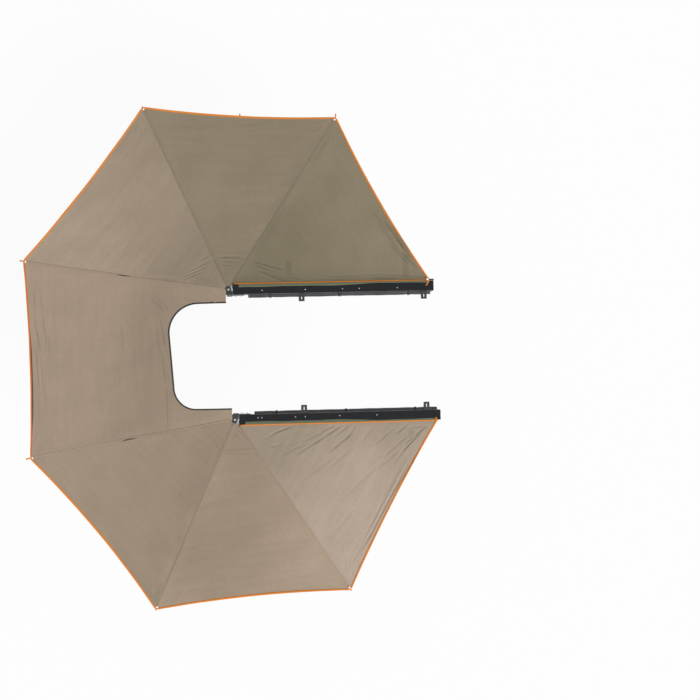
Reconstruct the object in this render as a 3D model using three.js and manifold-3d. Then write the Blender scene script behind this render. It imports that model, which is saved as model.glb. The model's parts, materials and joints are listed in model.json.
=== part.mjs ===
// Wraparound vehicle awning: a fan of three arms on each side of a roof rack, joined by a back panel.
// Millimetres. +X points to the vehicle's front, +Y to its left side and +Z up.
// The origin lies midway between the two hub pins, level with the underside of the rack's crossbars.

import * as THREE from 'three';
import { mergeVertices } from 'three/addons/utils/BufferGeometryUtils.js';
import Module from 'manifold-3d';

const wasm = await Module();
wasm.setup();

// Layout of the two halves
const hubSpacing = 1321;
const rightHubForward = 38;
const pinTilt = THREE.MathUtils.degToRad(4);
const armNames = ['front', 'middle', 'rear'];
const openAngles = [57.5, 114, 170.5];
const canopyReach = 2110;
const touchGap = 0.3;
const cutOverrun = 1;
const weldDistance = 1e-4;

// Rail: an inverted L extrusion, seen along the vehicle. The folded arms lie under its flange.
const railStart = 40;
const railLength = 2050;
const webClearance = 29;
const flangeOverhang = 34;
const webShortfall = 8;
const flangeThickness = 12;
const flangeRounding = 1.5;
const crossbarClearance = 3;
const foldedArmClearance = 5;
const webThickness = 5;
const webFillet = 6;
const trackDepth = 8;
const trackMouth = 8.4;
const trackWidth = 16;
const trackLip = 2.5;
const trackWall = 6;
const trackDrop = 47;
const beadHeight = 10;
const beadThickness = 10;
const kederRadius = 3.2;
const kederMouth = 2.6;
const kederInset = 4.5;
const endCapThickness = 4;

// Rack brackets
const bracketWidth = 60;
const bracketFoot = 85;
const bracketBelowTrack = 45;
const bracketThickness = 6;
const rearBracketSetback = 700;
const frontBracketSetback = 100;
const gussetThickness = 4;
const gussetReach = 50;
const bracketSlotWidth = 9;
const bracketSlotLength = 40;
const bracketBoltRadius = 4.3;

// Hub: bracket, pin and the arms' knuckles
const pinRadius = 8;
const pinClearance = 0.3;
const pinHeadLip = 5;
const pinHeadHeight = 7.5;
const knuckleWall = 13.7;
const knuckleGap = 0.6;
const lugMargin = 6;
const lugThickness = 8;
const hubPlateThickness = 6;
const hubPlateBehind = 25;
const hubPlateAhead = 150;
const hubPlateMargin = 3;
const stiffenerReach = 16;
const hubBoltRadius = 4.3;
const hubBoltPlaces = [70, 125];

// Arms: inverted channels, each as wide and deep as the leg that lies in it needs
const armWall = 2.2;
const armSideGap = 1.8;
const armRoofGap = 1;
const armSkirt = 4.8;
const armStackGap = 4;
const armTopDrop = 1;
const armGrooveDepth = 1;
const armGrooveHeight = 6;
const armCorner = 1.5;
const armChannelStart = 8;
const armEndSetback = 32;

// Arm tips
const tipNose = 30;
const tipPlugLength = 38;
const tipCheekLength = 40;
const tipCheekThickness = 5;
const legPinRadius = 4;
const legPinSetback = 60;
const studRadius = 4;
const studStackGap = 1;
const studSetback = 18;

// Legs
const legTubeRadius = 12.5;
const legTubeWall = 1.5;
const legTubeLength = 1000;
const legEyeShoulder = 1.5;
const legEyeGap = 0.5;
const legEyeLength = 26;
const legEyePlug = 14;
const slideGap = 0.6;
const innerTubeWall = 1.4;
const innerTubeHeadroom = 46;
const innerTubeShowing = 46;
const collarWall = 2.5;
const collarOverTube = 30;
const collarShoulder = 1.7;
const collarNose = 16;
const collarFlutes = 10;
const collarFluteDepth = 1.2;
const footWall = 2.1;
const footFlare = 2.2;
const footSocketDepth = 20;
const footSole = 8;

// Travel cover, rolled up under the rail
const coverRadius = 36;
const coverLap = 5;
const coverStartGap = 40;
const coverEndSetback = 12;

// Cloth
const clothThickness = 1.2;
const seamGap = 1;
const armStrip = 20;
const hubClothRadius = 26;
const firstArmClothRadius = 70;
const hubPeakRadius = 75;
const hubPeakFade = 1000;
const railClothRearMargin = 2;
const railClothFrontMargin = 43;
const leftEdgeBows = [38, 31, 24];
const rightEdgeBows = [24, 31, 40];
const backEdgeBow = 31;
const panelSag = 30;
const backPanelSag = 34;
const backEdgeSag = 20;

// Cut-out in the back panel
const cutoutDepth = 610;
const leftCutoutInset = 138;
const rightCutoutInset = 117;
const leftCutoutCorner = 290;
const rightCutoutCorner = 220;

// Sizes that follow from the ones above. Heights are measured from the top of the knuckle stack.
const innerTubeRadius = legTubeRadius - legTubeWall - slideGap;
const collarRadius = legTubeRadius + collarWall;
const footNeckRadius = innerTubeRadius + pinClearance + footWall;
const footRadius = footNeckRadius + footFlare;
const armWidth = 2 * (collarRadius + armSideGap + armWall);
const legPinDrop = armWall + armRoofGap + collarRadius;
const armHeight = legPinDrop + collarRadius + armSkirt;
const armPitch = armHeight + armStackGap;
const stackHeight = armPitch * armNames.length;
const studHeight = armStackGap - studStackGap;
const armEnd = canopyReach - armEndSetback;
const studPlace = canopyReach - studSetback;
const legPinPlace = armEnd - legPinSetback;
const legAxisHeight = -armTopDrop - legPinDrop;
const tipHalfWidth = armWidth / 2 - armWall - touchGap;
const legEyeRadius = legTubeRadius - legEyeShoulder;
const innerTubeLength = legTubeLength - legEyeLength - legEyePlug - innerTubeHeadroom + innerTubeShowing;
const legEyeWidth = 2 * (tipHalfWidth - tipCheekThickness - legEyeGap);
const pinHeadRadius = pinRadius + pinHeadLip;
const knuckleRadius = pinRadius + pinClearance + knuckleWall;
const lugRadius = knuckleRadius + lugMargin;
const railInset = armWidth / 2 + webClearance;
const flangeReach = armWidth / 2 + flangeOverhang;
const flangeUnderside = foldedArmClearance;
const railTop = flangeUnderside + flangeThickness;
const railBottom = webShortfall - stackHeight;
const railEnd = railStart + railLength;
const mountPlane = railTop + crossbarClearance;
const trackHeight = railTop - trackDrop;
const crossbars = { rear: railStart + rearBracketSetback, front: railEnd - frontBracketSetback };
const sides = {
  left: {
    mirror: 1,
    hub: new THREE.Vector3(0, hubSpacing / 2, -mountPlane),
    edgeBows: leftEdgeBows,
    cutoutInset: leftCutoutInset,
    cutoutCorner: leftCutoutCorner,
  },
  right: {
    mirror: -1,
    hub: new THREE.Vector3(rightHubForward, -hubSpacing / 2, -mountPlane),
    edgeBows: rightEdgeBows,
    cutoutInset: rightCutoutInset,
    cutoutCorner: rightCutoutCorner,
  },
};

function openAngle(arm) {
  return THREE.MathUtils.degToRad(openAngles[armNames.indexOf(arm)]);
}

// Finishes
const blackAnodised = new THREE.MeshStandardMaterial({ color: 0x1c1d1f, roughness: 0.45, metalness: 0.9 });
const blackSteel = new THREE.MeshStandardMaterial({ color: 0x17181a, roughness: 0.6, metalness: 0.4 });
const plainAluminium = new THREE.MeshStandardMaterial({ color: 0xa9adb2, roughness: 0.4, metalness: 1 });
const zincSteel = new THREE.MeshStandardMaterial({ color: 0x9a9c9e, roughness: 0.35, metalness: 1 });
const blackNylon = new THREE.MeshStandardMaterial({ color: 0x1a1a1b, roughness: 0.65, metalness: 0 });
const blackRubber = new THREE.MeshStandardMaterial({ color: 0x141414, roughness: 0.85, metalness: 0 });
const coverVinyl = new THREE.MeshStandardMaterial({ color: 0x1d1e20, roughness: 0.7, metalness: 0 });
const canopyCanvas = new THREE.MeshStandardMaterial({ color: 0x9c8c74, roughness: 0.9, metalness: 0 });

// A closed geometry as a solid that can be joined and cut
function solid(geometry) {
  const bare = new THREE.BufferGeometry();
  bare.setAttribute('position', geometry.getAttribute('position').clone());
  if (geometry.index) bare.setIndex(geometry.index.clone());
  const merged = mergeVertices(bare, weldDistance);
  return new wasm.Manifold(new wasm.Mesh({
    numProp: 3,
    vertProperties: merged.getAttribute('position').array,
    triVerts: new Uint32Array(merged.index.array),
  }));
}

// A solid back as a geometry
function geometryOf(body) {
  const made = body.getMesh();
  const geometry = new THREE.BufferGeometry();
  geometry.setAttribute('position', new THREE.BufferAttribute(new Float32Array(made.vertProperties), 3));
  geometry.setIndex(new THREE.BufferAttribute(new Uint32Array(made.triVerts), 1));
  geometry.computeVertexNormals();
  return geometry;
}

function join(first, ...others) {
  return others.reduce((body, geometry) => body.add(solid(geometry)), solid(first));
}

function cut(body, ...cutters) {
  return cutters.reduce((rest, geometry) => rest.subtract(solid(geometry)), body);
}

function drawnOut(length) {
  return { depth: length, bevelEnabled: false, curveSegments: 6 };
}

// A flat outline drawn in (y, z) and drawn out along x
function prismAlongX(shape, from, to) {
  const geometry = new THREE.ExtrudeGeometry(shape, drawnOut(to - from));
  const turn = new THREE.Matrix4().makeBasis(
    new THREE.Vector3(0, 1, 0), new THREE.Vector3(0, 0, 1), new THREE.Vector3(1, 0, 0));
  return geometry.applyMatrix4(turn).translate(from, 0, 0);
}

// A flat outline drawn in (x, z) and drawn out along y
function prismAlongY(shape, from, to) {
  const geometry = new THREE.ExtrudeGeometry(shape, drawnOut(to - from));
  return geometry.rotateX(Math.PI / 2).translate(0, to, 0);
}

// A flat outline drawn in (x, y) and drawn out along z
function prismAlongZ(shape, from, to) {
  const geometry = new THREE.ExtrudeGeometry(shape, drawnOut(to - from));
  return geometry.translate(0, 0, from);
}

function boxBetween(low, high) {
  const size = new THREE.Vector3().subVectors(high, low);
  const middle = new THREE.Vector3().addVectors(low, high).multiplyScalar(0.5);
  return new THREE.BoxGeometry(size.x, size.y, size.z).translate(middle.x, middle.y, middle.z);
}

function rodAlongX(radius, from, to, segments = 16) {
  const geometry = new THREE.CylinderGeometry(radius, radius, to - from, segments);
  return geometry.rotateZ(-Math.PI / 2).translate((from + to) / 2, 0, 0);
}

function rodAlongY(radius, from, to, segments = 16) {
  return new THREE.CylinderGeometry(radius, radius, to - from, segments).translate(0, (from + to) / 2, 0);
}

function rodAlongZ(radius, from, to, segments = 24) {
  const geometry = new THREE.CylinderGeometry(radius, radius, to - from, segments);
  return geometry.rotateX(Math.PI / 2).translate(0, 0, (from + to) / 2);
}

// A turned piece on the x axis, from points (place along x, radius)
function turnedAlongX(points, segments = 16) {
  const profile = points.map(([place, radius]) => new THREE.Vector2(radius, place));
  return new THREE.LatheGeometry(profile, segments).rotateZ(-Math.PI / 2);
}

function polygon(points) {
  return new THREE.Shape(points.map(([across, up]) => new THREE.Vector2(across, up)));
}

function piece(name, geometry, material) {
  const mesh = new THREE.Mesh(geometry, material);
  mesh.name = name;
  return mesh;
}

// Rail section: flange on top with the keder groove in its outer face, and a web with the bolt track
// in its inner face
function railOutline() {
  const inner = -railInset;
  const outer = flangeReach;
  const webFace = inner + webThickness;
  const trackFace = inner + trackDepth + trackWall;
  const trackMiddle = trackHeight;
  const bandHalf = trackWidth / 2 + trackWall;
  const taper = (trackFace - webFace) / 2;
  const grooveAt = flangeUnderside + flangeThickness / 2;
  const mouthAngle = Math.asin(kederMouth / 2 / kederRadius);
  const shape = new THREE.Shape();
  shape.moveTo(inner, railTop);
  shape.lineTo(inner, trackMiddle + trackMouth / 2);
  shape.lineTo(inner + trackLip, trackMiddle + trackMouth / 2);
  shape.lineTo(inner + trackLip, trackMiddle + trackWidth / 2);
  shape.lineTo(inner + trackDepth, trackMiddle + trackWidth / 2);
  shape.lineTo(inner + trackDepth, trackMiddle - trackWidth / 2);
  shape.lineTo(inner + trackLip, trackMiddle - trackWidth / 2);
  shape.lineTo(inner + trackLip, trackMiddle - trackMouth / 2);
  shape.lineTo(inner, trackMiddle - trackMouth / 2);
  shape.lineTo(inner, railBottom);
  shape.lineTo(inner + beadThickness, railBottom);
  shape.lineTo(inner + beadThickness, railBottom + beadHeight);
  shape.lineTo(webFace, railBottom + beadHeight + (beadThickness - webThickness));
  shape.lineTo(webFace, trackMiddle - bandHalf - taper);
  shape.lineTo(trackFace, trackMiddle - bandHalf);
  shape.lineTo(trackFace, trackMiddle + bandHalf);
  shape.lineTo(webFace, trackMiddle + bandHalf + taper);
  shape.lineTo(webFace, flangeUnderside - webFillet);
  shape.absarc(webFace + webFillet, flangeUnderside - webFillet, webFillet, Math.PI, Math.PI / 2, true);
  shape.lineTo(outer - flangeRounding, flangeUnderside);
  shape.lineTo(outer, flangeUnderside + flangeRounding);
  shape.lineTo(outer, grooveAt - kederMouth / 2);
  shape.absarc(outer - kederInset, grooveAt, kederRadius, -mouthAngle, mouthAngle, true);
  shape.lineTo(outer, grooveAt + kederMouth / 2);
  shape.lineTo(outer, railTop - flangeRounding);
  shape.lineTo(outer - flangeRounding, railTop);
  return shape;
}

function railGeometry() {
  return geometryOf(solid(prismAlongX(railOutline(), railStart, railEnd)));
}

// End cap: a plate of the rail's outer form, with its corners cut
function endCapGeometry() {
  const inner = -railInset;
  const corner = flangeRounding * 2;
  const leg = inner + trackDepth + trackWall;
  const plate = polygon([
    [inner, railBottom + corner], [inner + corner, railBottom], [leg - corner, railBottom],
    [leg, railBottom + corner], [leg, flangeUnderside - webFillet], [leg + webFillet, flangeUnderside],
    [flangeReach - corner, flangeUnderside], [flangeReach, flangeUnderside + corner],
    [flangeReach, railTop - corner], [flangeReach - corner, railTop], [inner + corner, railTop],
    [inner, railTop - corner],
  ]);
  return prismAlongX(plate, railEnd + touchGap, railEnd + touchGap + endCapThickness);
}

// Rack bracket: an L of plate with two gussets, a slot for the crossbar's bolt and two holes for the
// rail's bolts
function rackBracketGeometry(place) {
  const face = -railInset - touchGap;
  const back = face - bracketThickness;
  const footEnd = face - bracketFoot;
  const under = mountPlane - bracketThickness;
  const half = bracketWidth / 2;
  const bottom = trackHeight - bracketBelowTrack;
  const angle = polygon([
    [face, mountPlane], [footEnd, mountPlane], [footEnd, under],
    [back, under], [back, bottom], [face, bottom],
  ]);
  const gusset = polygon([
    [back + cutOverrun, under + cutOverrun], [back - gussetReach, under + cutOverrun],
    [back - gussetReach, under - gussetThickness], [back + cutOverrun, under - gussetReach],
  ]);
  const body = join(
    prismAlongX(angle, place - half, place + half),
    prismAlongX(gusset, place - half, place - half + gussetThickness),
    prismAlongX(gusset, place + half - gussetThickness, place + half));
  const slotHalf = bracketSlotWidth / 2;
  const slotRun = (bracketSlotLength - bracketSlotWidth) / 2;
  const slotMiddle = back - bracketFoot / 2 + bracketThickness / 2;
  const slot = new THREE.Shape();
  slot.absarc(place, slotMiddle + slotRun, slotHalf, 0, Math.PI, false);
  slot.absarc(place, slotMiddle - slotRun, slotHalf, Math.PI, 2 * Math.PI, false);
  const boltSpread = bracketWidth / 4;
  const bolts = [-boltSpread, boltSpread].map((along) => {
    const hole = rodAlongY(bracketBoltRadius, back - cutOverrun, face + cutOverrun, 12);
    return hole.translate(place + along, 0, trackHeight);
  });
  return geometryOf(cut(body, prismAlongZ(slot, under - cutOverrun, mountPlane + cutOverrun), ...bolts));
}

// Hub bracket: a plate bolted to the rail's web, with a lug above and a lug below the stack of knuckles
function lugOutline() {
  const shape = new THREE.Shape();
  shape.moveTo(-lugRadius, -railInset - hubPlateThickness / 2);
  shape.lineTo(lugRadius, -railInset - hubPlateThickness / 2);
  shape.lineTo(lugRadius, 0);
  shape.absarc(0, 0, lugRadius, 0, Math.PI, false);
  return shape;
}

function hubBracketGeometry() {
  const face = -railInset - touchGap;
  const back = face - hubPlateThickness;
  const rise = railInset * Math.tan(pinTilt);
  const top = lugThickness + rise + hubPlateMargin / 2;
  const bottom = -stackHeight - lugThickness - hubPlateMargin;
  const topLug = prismAlongZ(lugOutline(), knuckleGap / 2, knuckleGap / 2 + lugThickness);
  const bottomTop = -stackHeight - knuckleGap / 2;
  const bottomLug = prismAlongZ(lugOutline(), bottomTop - lugThickness, bottomTop);
  const bore = rodAlongZ(pinRadius + pinClearance, bottomTop - 2 * lugThickness, 2 * lugThickness);
  for (const geometry of [topLug, bottomLug, bore]) geometry.rotateX(-pinTilt);
  const plate = boxBetween(
    new THREE.Vector3(-hubPlateBehind, back, bottom),
    new THREE.Vector3(hubPlateAhead, face, top));
  const stiffener = boxBetween(
    new THREE.Vector3(-hubPlateBehind, back, bottom + lugThickness),
    new THREE.Vector3(-hubPlateBehind + hubPlateThickness, -railInset + stiffenerReach, rise));
  const body = join(plate, topLug, bottomLug, stiffener);
  const bolts = hubBoltPlaces.map((place) =>
    rodAlongY(hubBoltRadius, back - cutOverrun, face + cutOverrun, 12).translate(place, 0, trackHeight));
  return geometryOf(cut(body, bore, ...bolts));
}

// Hub pin: a long bolt with its head above the top lug and its nut below the bottom one
function hubPinGeometry() {
  const top = knuckleGap / 2 + lugThickness + touchGap;
  const bottom = -stackHeight - knuckleGap / 2 - lugThickness - touchGap;
  const hexagon = 6;
  return geometryOf(join(
    rodAlongZ(pinRadius, bottom - pinHeadHeight - cutOverrun, top + cutOverrun),
    rodAlongZ(pinHeadRadius, top, top + pinHeadHeight, hexagon),
    rodAlongZ(pinHeadRadius, bottom - pinHeadHeight, bottom, hexagon)));
}

// Arm: an inverted channel with a groove along each side, welded to its knuckle
function armOutline() {
  const half = armWidth / 2;
  const top = -armTopDrop;
  const bottom = top - armHeight;
  const grooveTop = top - armHeight / 2 + armGrooveHeight / 2;
  const grooveBottom = grooveTop - armGrooveHeight;
  const grooveFloor = half - armGrooveDepth;
  const right = [
    [half - armCorner, top], [half, top - armCorner],
    [half, grooveTop], [grooveFloor, grooveTop - armGrooveDepth],
    [grooveFloor, grooveBottom + armGrooveDepth], [half, grooveBottom],
    [half, bottom], [half - armWall, bottom], [half - armWall, top - armWall],
  ];
  const left = right.map(([across, up]) => [-across, up]).reverse();
  return polygon([...right, ...left]);
}

function armGeometry() {
  const top = -knuckleGap / 2;
  const bottom = top - (armPitch - knuckleGap);
  const body = join(
    prismAlongX(armOutline(), armChannelStart, armEnd),
    rodAlongZ(knuckleRadius, bottom, top));
  const bore = rodAlongZ(pinRadius + pinClearance, bottom - cutOverrun, top + cutOverrun);
  return geometryOf(cut(body, bore));
}

// Arm tip: a plug in the channel's end, two cheeks that hold the leg's cross pin, a nose, and the stud
// for the canopy's eyelet
function armTipGeometry() {
  const half = tipHalfWidth;
  const top = -armTopDrop - armWall - touchGap;
  const bottom = -armTopDrop - armHeight + armWall;
  const plugStart = armEnd - tipPlugLength;
  const cheekStart = legPinPlace - tipCheekLength / 2;
  const noseStart = armEnd + touchGap;
  const noseEnd = armEnd + tipNose;
  const noseHalf = armWidth / 2;
  const nose = new THREE.Shape();
  nose.moveTo(noseStart, -noseHalf);
  nose.lineTo(noseEnd - noseHalf, -noseHalf);
  nose.absarc(noseEnd - noseHalf, 0, noseHalf, -Math.PI / 2, Math.PI / 2, false);
  nose.lineTo(noseStart, noseHalf);
  const cheek = new THREE.Shape();
  cheek.moveTo(plugStart + cutOverrun, top);
  cheek.lineTo(cheekStart + armWall, top);
  cheek.lineTo(cheekStart, top - armWall);
  cheek.lineTo(cheekStart, bottom + armWall);
  cheek.lineTo(cheekStart + armWall, bottom);
  cheek.lineTo(plugStart + cutOverrun, bottom);
  const pin = rodAlongY(legPinRadius, -half + cutOverrun, half - cutOverrun);
  const plug = boxBetween(
    new THREE.Vector3(plugStart, -half, bottom), new THREE.Vector3(noseStart + cutOverrun, half, top));
  const stud = rodAlongZ(studRadius, -armTopDrop - cutOverrun, -armTopDrop + studHeight, 16);
  return geometryOf(join(
    prismAlongZ(nose, -armTopDrop - armHeight, -armTopDrop),
    plug,
    prismAlongY(cheek, half - tipCheekThickness, half),
    prismAlongY(cheek, -half, -half + tipCheekThickness),
    pin.translate(legPinPlace, 0, legAxisHeight),
    stud.translate(studPlace, 0, 0)));
}

// Leg's outer tube, with the eye that turns on the cross pin. It lies in the arm and points to the hub.
function legTubeGeometry() {
  const tubeTop = legPinPlace - legEyeLength;
  const tubeEnd = legPinPlace - legTubeLength;
  const boreTop = tubeTop - legEyePlug;
  const boreRadius = legTubeRadius - legTubeWall;
  const tube = turnedAlongX([
    [tubeEnd, boreRadius], [tubeEnd, legTubeRadius], [tubeTop, legTubeRadius], [tubeTop, 0],
    [boreTop, 0], [boreTop, boreRadius], [tubeEnd, boreRadius],
  ]);
  const eye = new THREE.Shape();
  eye.moveTo(tubeTop - cutOverrun, -legEyeRadius);
  eye.lineTo(legPinPlace, -legEyeRadius);
  eye.absarc(legPinPlace, 0, legEyeRadius, -Math.PI / 2, Math.PI / 2, false);
  eye.lineTo(tubeTop - cutOverrun, legEyeRadius);
  const body = join(tube, prismAlongY(eye, -legEyeWidth / 2, legEyeWidth / 2));
  const hole = rodAlongY(legPinRadius + pinClearance, -legEyeWidth, legEyeWidth);
  return geometryOf(cut(body, hole.translate(legPinPlace, 0, 0)).translate(0, 0, legAxisHeight));
}

function innerTubeEnd() {
  return legPinPlace - legTubeLength - innerTubeShowing;
}

function innerTubeGeometry() {
  const end = innerTubeEnd();
  const top = end + innerTubeLength;
  const bore = innerTubeRadius - innerTubeWall;
  const tube = turnedAlongX([
    [end, bore], [end, innerTubeRadius], [top, innerTubeRadius], [top, bore], [end, bore],
  ]);
  return geometryOf(solid(tube).translate(0, 0, legAxisHeight));
}

// Twist-lock collar: a fluted grip over the outer tube's end and a nose that closes on the inner tube
function collarGeometry() {
  const tubeEnd = legPinPlace - legTubeLength;
  const grip = new THREE.Shape();
  const steps = collarFlutes * 4;
  for (let step = 0; step < steps; step++) {
    const turn = step / steps * 2 * Math.PI;
    const radius = collarRadius - (step % 4 === 0 ? collarFluteDepth : 0);
    if (step === 0) grip.moveTo(radius * Math.cos(turn), radius * Math.sin(turn));
    else grip.lineTo(radius * Math.cos(turn), radius * Math.sin(turn));
  }
  const noseRadius = innerTubeRadius + pinClearance + collarWall;
  const body = join(
    prismAlongX(grip, tubeEnd - collarShoulder, tubeEnd + collarOverTube),
    rodAlongX(noseRadius, tubeEnd - collarNose, tubeEnd));
  return geometryOf(cut(
    body,
    rodAlongX(legTubeRadius + pinClearance, tubeEnd - touchGap, tubeEnd + collarOverTube + cutOverrun),
    rodAlongX(innerTubeRadius + pinClearance, tubeEnd - collarNose - cutOverrun, tubeEnd + cutOverrun),
  ).translate(0, 0, legAxisHeight));
}

// Foot: a rubber cup on the inner tube's end with a flared sole
function footGeometry() {
  const end = innerTubeEnd();
  const socket = innerTubeRadius + pinClearance;
  const floor = end - touchGap;
  const sole = floor - footSole;
  const foot = turnedAlongX([
    [sole, 0], [sole, footRadius], [floor, footRadius], [floor + footSole / 2, footNeckRadius],
    [floor + footSocketDepth, footNeckRadius], [floor + footSocketDepth, socket],
    [floor, socket], [floor, 0],
  ]);
  return geometryOf(solid(foot).translate(0, 0, legAxisHeight));
}

// Travel cover: rolled up lengthwise, with the lap of its free edge showing
function coverGeometry() {
  const steps = 20;
  const middle = new THREE.Vector2(-railInset + beadThickness / 2, railBottom - touchGap - coverRadius);
  const roll = [];
  for (let step = 0; step <= steps; step++) {
    const turn = Math.PI / 2 + step / steps * 2 * Math.PI;
    const radius = coverRadius - coverLap * step / steps;
    roll.push([middle.x + radius * Math.cos(turn), middle.y + radius * Math.sin(turn)]);
  }
  return prismAlongX(polygon(roll), hubPlateAhead + coverStartGap, railEnd - coverEndSetback);
}

// A sheet of cloth as a closed solid, from four-cornered patches of its upper face
function clothGeometry(patches) {
  const places = [];
  const known = new Map();
  const indexOf = (point) => {
    const key = [point.x, point.y, point.z].map((value) => value.toFixed(3)).join(' ');
    if (!known.has(key)) {
      known.set(key, places.length);
      places.push(point);
    }
    return known.get(key);
  };
  const quads = patches.map((patch) => patch.map(indexOf));
  const count = places.length;
  const edges = new Set();
  const triangles = [];
  for (const [a, b, c, d] of quads) {
    triangles.push([a, b, c], [a, c, d]);
    triangles.push([a + count, c + count, b + count], [a + count, d + count, c + count]);
    for (const [from, to] of [[a, b], [b, c], [c, d], [d, a]]) edges.add(from + ' ' + to);
  }
  for (const edge of edges) {
    const [from, to] = edge.split(' ').map(Number);
    if (edges.has(to + ' ' + from)) continue;
    triangles.push([from, from + count, to + count], [from, to + count, to]);
  }
  const positions = [...places.flatMap((p) => [p.x, p.y, p.z]),
    ...places.flatMap((p) => [p.x, p.y, p.z - clothThickness])];
  const geometry = new THREE.BufferGeometry();
  geometry.setAttribute('position', new THREE.BufferAttribute(new Float32Array(positions), 3));
  geometry.setIndex(triangles.flat());
  geometry.computeVertexNormals();
  return geometry;
}

// Patches between neighbouring rows of points, kept facing up
function patchesOf(rows) {
  const patches = [];
  for (let i = 0; i + 1 < rows.length; i++) {
    for (let j = 0; j + 1 < rows[i].length; j++) {
      const patch = [rows[i][j], rows[i + 1][j], rows[i + 1][j + 1], rows[i][j + 1]];
      const first = new THREE.Vector3().subVectors(patch[2], patch[0]);
      const second = new THREE.Vector3().subVectors(patch[3], patch[1]);
      patches.push(first.cross(second).z > 0 ? patch : patch.reverse());
    }
  }
  return patches;
}

// A point of one half, from its place ahead of the pin, outboard of it and along it, in the frame that
// the pin tilts
function sidePoint(side, ahead, outboard, along) {
  const { mirror, hub } = sides[side];
  return new THREE.Vector3(
    hub.x + ahead,
    hub.y + mirror * (outboard * Math.cos(pinTilt) + along * Math.sin(pinTilt)),
    hub.z - outboard * Math.sin(pinTilt) + along * Math.cos(pinTilt));
}

// The cloth's height along the pin: on the arms, and peaked over the hub's top lug
function clothHeight(armHeightThere, radius) {
  const peak = knuckleGap / 2 + lugThickness + 2 * touchGap + clothThickness;
  const share = 1 - THREE.MathUtils.smoothstep(radius, hubPeakRadius, hubPeakFade);
  return THREE.MathUtils.lerp(armHeightThere, peak, share);
}

// A point of the cloth over an arm, beside its middle line by an offset towards the next arm
function overArm(side, arm, radius, offset) {
  const angle = openAngle(arm);
  const armTop = -armTopDrop - armPitch * armNames.indexOf(arm) + touchGap + clothThickness;
  const ahead = radius * Math.cos(angle) - offset * Math.sin(angle);
  const outboard = radius * Math.sin(angle) + offset * Math.cos(angle);
  return sidePoint(side, ahead, outboard, clothHeight(armTop, radius));
}

// The flat strip of cloth beside an arm's middle line narrows towards the hub, where the arms crowd
// together
function stripWidth(radius) {
  const crowdedShare = 0.3;
  return Math.min(armStrip, radius * crowdedShare);
}

// The cloth's edge in the rail's keder groove
function railEdge(side, share) {
  const { mirror, hub } = sides[side];
  const start = railStart + railClothRearMargin;
  const end = railEnd - railClothFrontMargin;
  return new THREE.Vector3(
    hub.x + THREE.MathUtils.lerp(start, end, share),
    hub.y + mirror * (flangeReach + touchGap),
    hub.z + flangeUnderside + flangeThickness / 2 + clothThickness / 2);
}

const rowShares = [0, 0.02, 0.045, 0.08, 0.13, 0.22, 0.34, 0.47, 0.6, 0.73, 0.87, 1];

// The hole for an arm's stud, half in each of the two panels that meet over the arm
function studHole(side, arm) {
  const { mirror, hub } = sides[side];
  const level = -armPitch * armNames.indexOf(arm);
  const hole = rodAlongZ(studRadius + pinClearance, level - studHeight, level + studHeight, 16);
  hole.translate(studPlace, 0, 0).rotateZ(mirror * openAngle(arm)).rotateX(-mirror * pinTilt);
  return hole.translate(hub.x, hub.y, hub.z);
}

// A fan panel between two edges. Each edge gives, for a share of the way out, its seam point and its
// strip point.
function fanPanelGeometry(firstEdge, secondEdge, bow) {
  const columns = 8;
  const rows = rowShares.map((share) => {
    const first = firstEdge(share);
    const second = secondEdge(share);
    const inner = first[first.length - 1];
    const outer = second[second.length - 1];
    const chord = new THREE.Vector3().subVectors(outer, inner).setZ(0).normalize();
    const inwards = new THREE.Vector3(-chord.y, chord.x, 0);
    const radial = new THREE.Vector3().subVectors(firstEdge(0)[0], firstEdge(1)[0]);
    if (inwards.dot(radial) < 0) inwards.negate();
    const row = [...first];
    for (let column = 1; column < columns; column++) {
      const across = column / columns;
      const crown = 4 * across * (1 - across);
      const point = new THREE.Vector3().lerpVectors(inner, outer, across);
      point.addScaledVector(inwards, bow * crown * share * share);
      point.z -= panelSag * crown * share;
      row.push(point);
    }
    return [...row, ...[...second].reverse()];
  });
  return clothGeometry(patchesOf(rows));
}

function armEdge(side, arm, direction, innerRadius) {
  return (share) => {
    const radius = THREE.MathUtils.lerp(innerRadius, canopyReach, share);
    return [
      overArm(side, arm, radius, direction * seamGap / 2),
      overArm(side, arm, radius, direction * stripWidth(radius)),
    ];
  };
}

function withStudHoles(geometry, ...places) {
  return geometryOf(cut(solid(geometry), ...places.map(([side, arm]) => studHole(side, arm))));
}

function fanPanels(side) {
  const [frontBow, sideBow, rearBow] = sides[side].edgeBows;
  const alongRail = (share) => [railEdge(side, share)];
  const behindFront = armEdge(side, 'front', 1, firstArmClothRadius);
  const behindMiddle = armEdge(side, 'middle', 1, hubClothRadius);
  const front = fanPanelGeometry(alongRail, armEdge(side, 'front', -1, firstArmClothRadius), frontBow);
  const middle = fanPanelGeometry(behindFront, armEdge(side, 'middle', -1, hubClothRadius), sideBow);
  const rear = fanPanelGeometry(behindMiddle, armEdge(side, 'rear', -1, hubClothRadius), rearBow);
  return [
    piece(side + '_front_panel', withStudHoles(front, [side, 'front']), canopyCanvas),
    piece(side + '_side_panel', withStudHoles(middle, [side, 'front'], [side, 'middle']), canopyCanvas),
    piece(side + '_rear_panel', withStudHoles(rear, [side, 'middle'], [side, 'rear']), canopyCanvas),
  ];
}

// A point of the cloth level with the rear arm's top, peaked like the rest over the hub
function backPoint(side, ahead, outboard) {
  const armTop = -armTopDrop - armPitch * (armNames.length - 1) + touchGap + clothThickness;
  return sidePoint(side, ahead, outboard, clothHeight(armTop, Math.hypot(ahead, outboard)));
}

// The back panel's seam and strip over one rear arm
function backEdge(side, share) {
  const radius = THREE.MathUtils.lerp(hubClothRadius, canopyReach, share);
  return [overArm(side, 'rear', radius, seamGap / 2), overArm(side, 'rear', radius, stripWidth(radius))];
}

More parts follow.
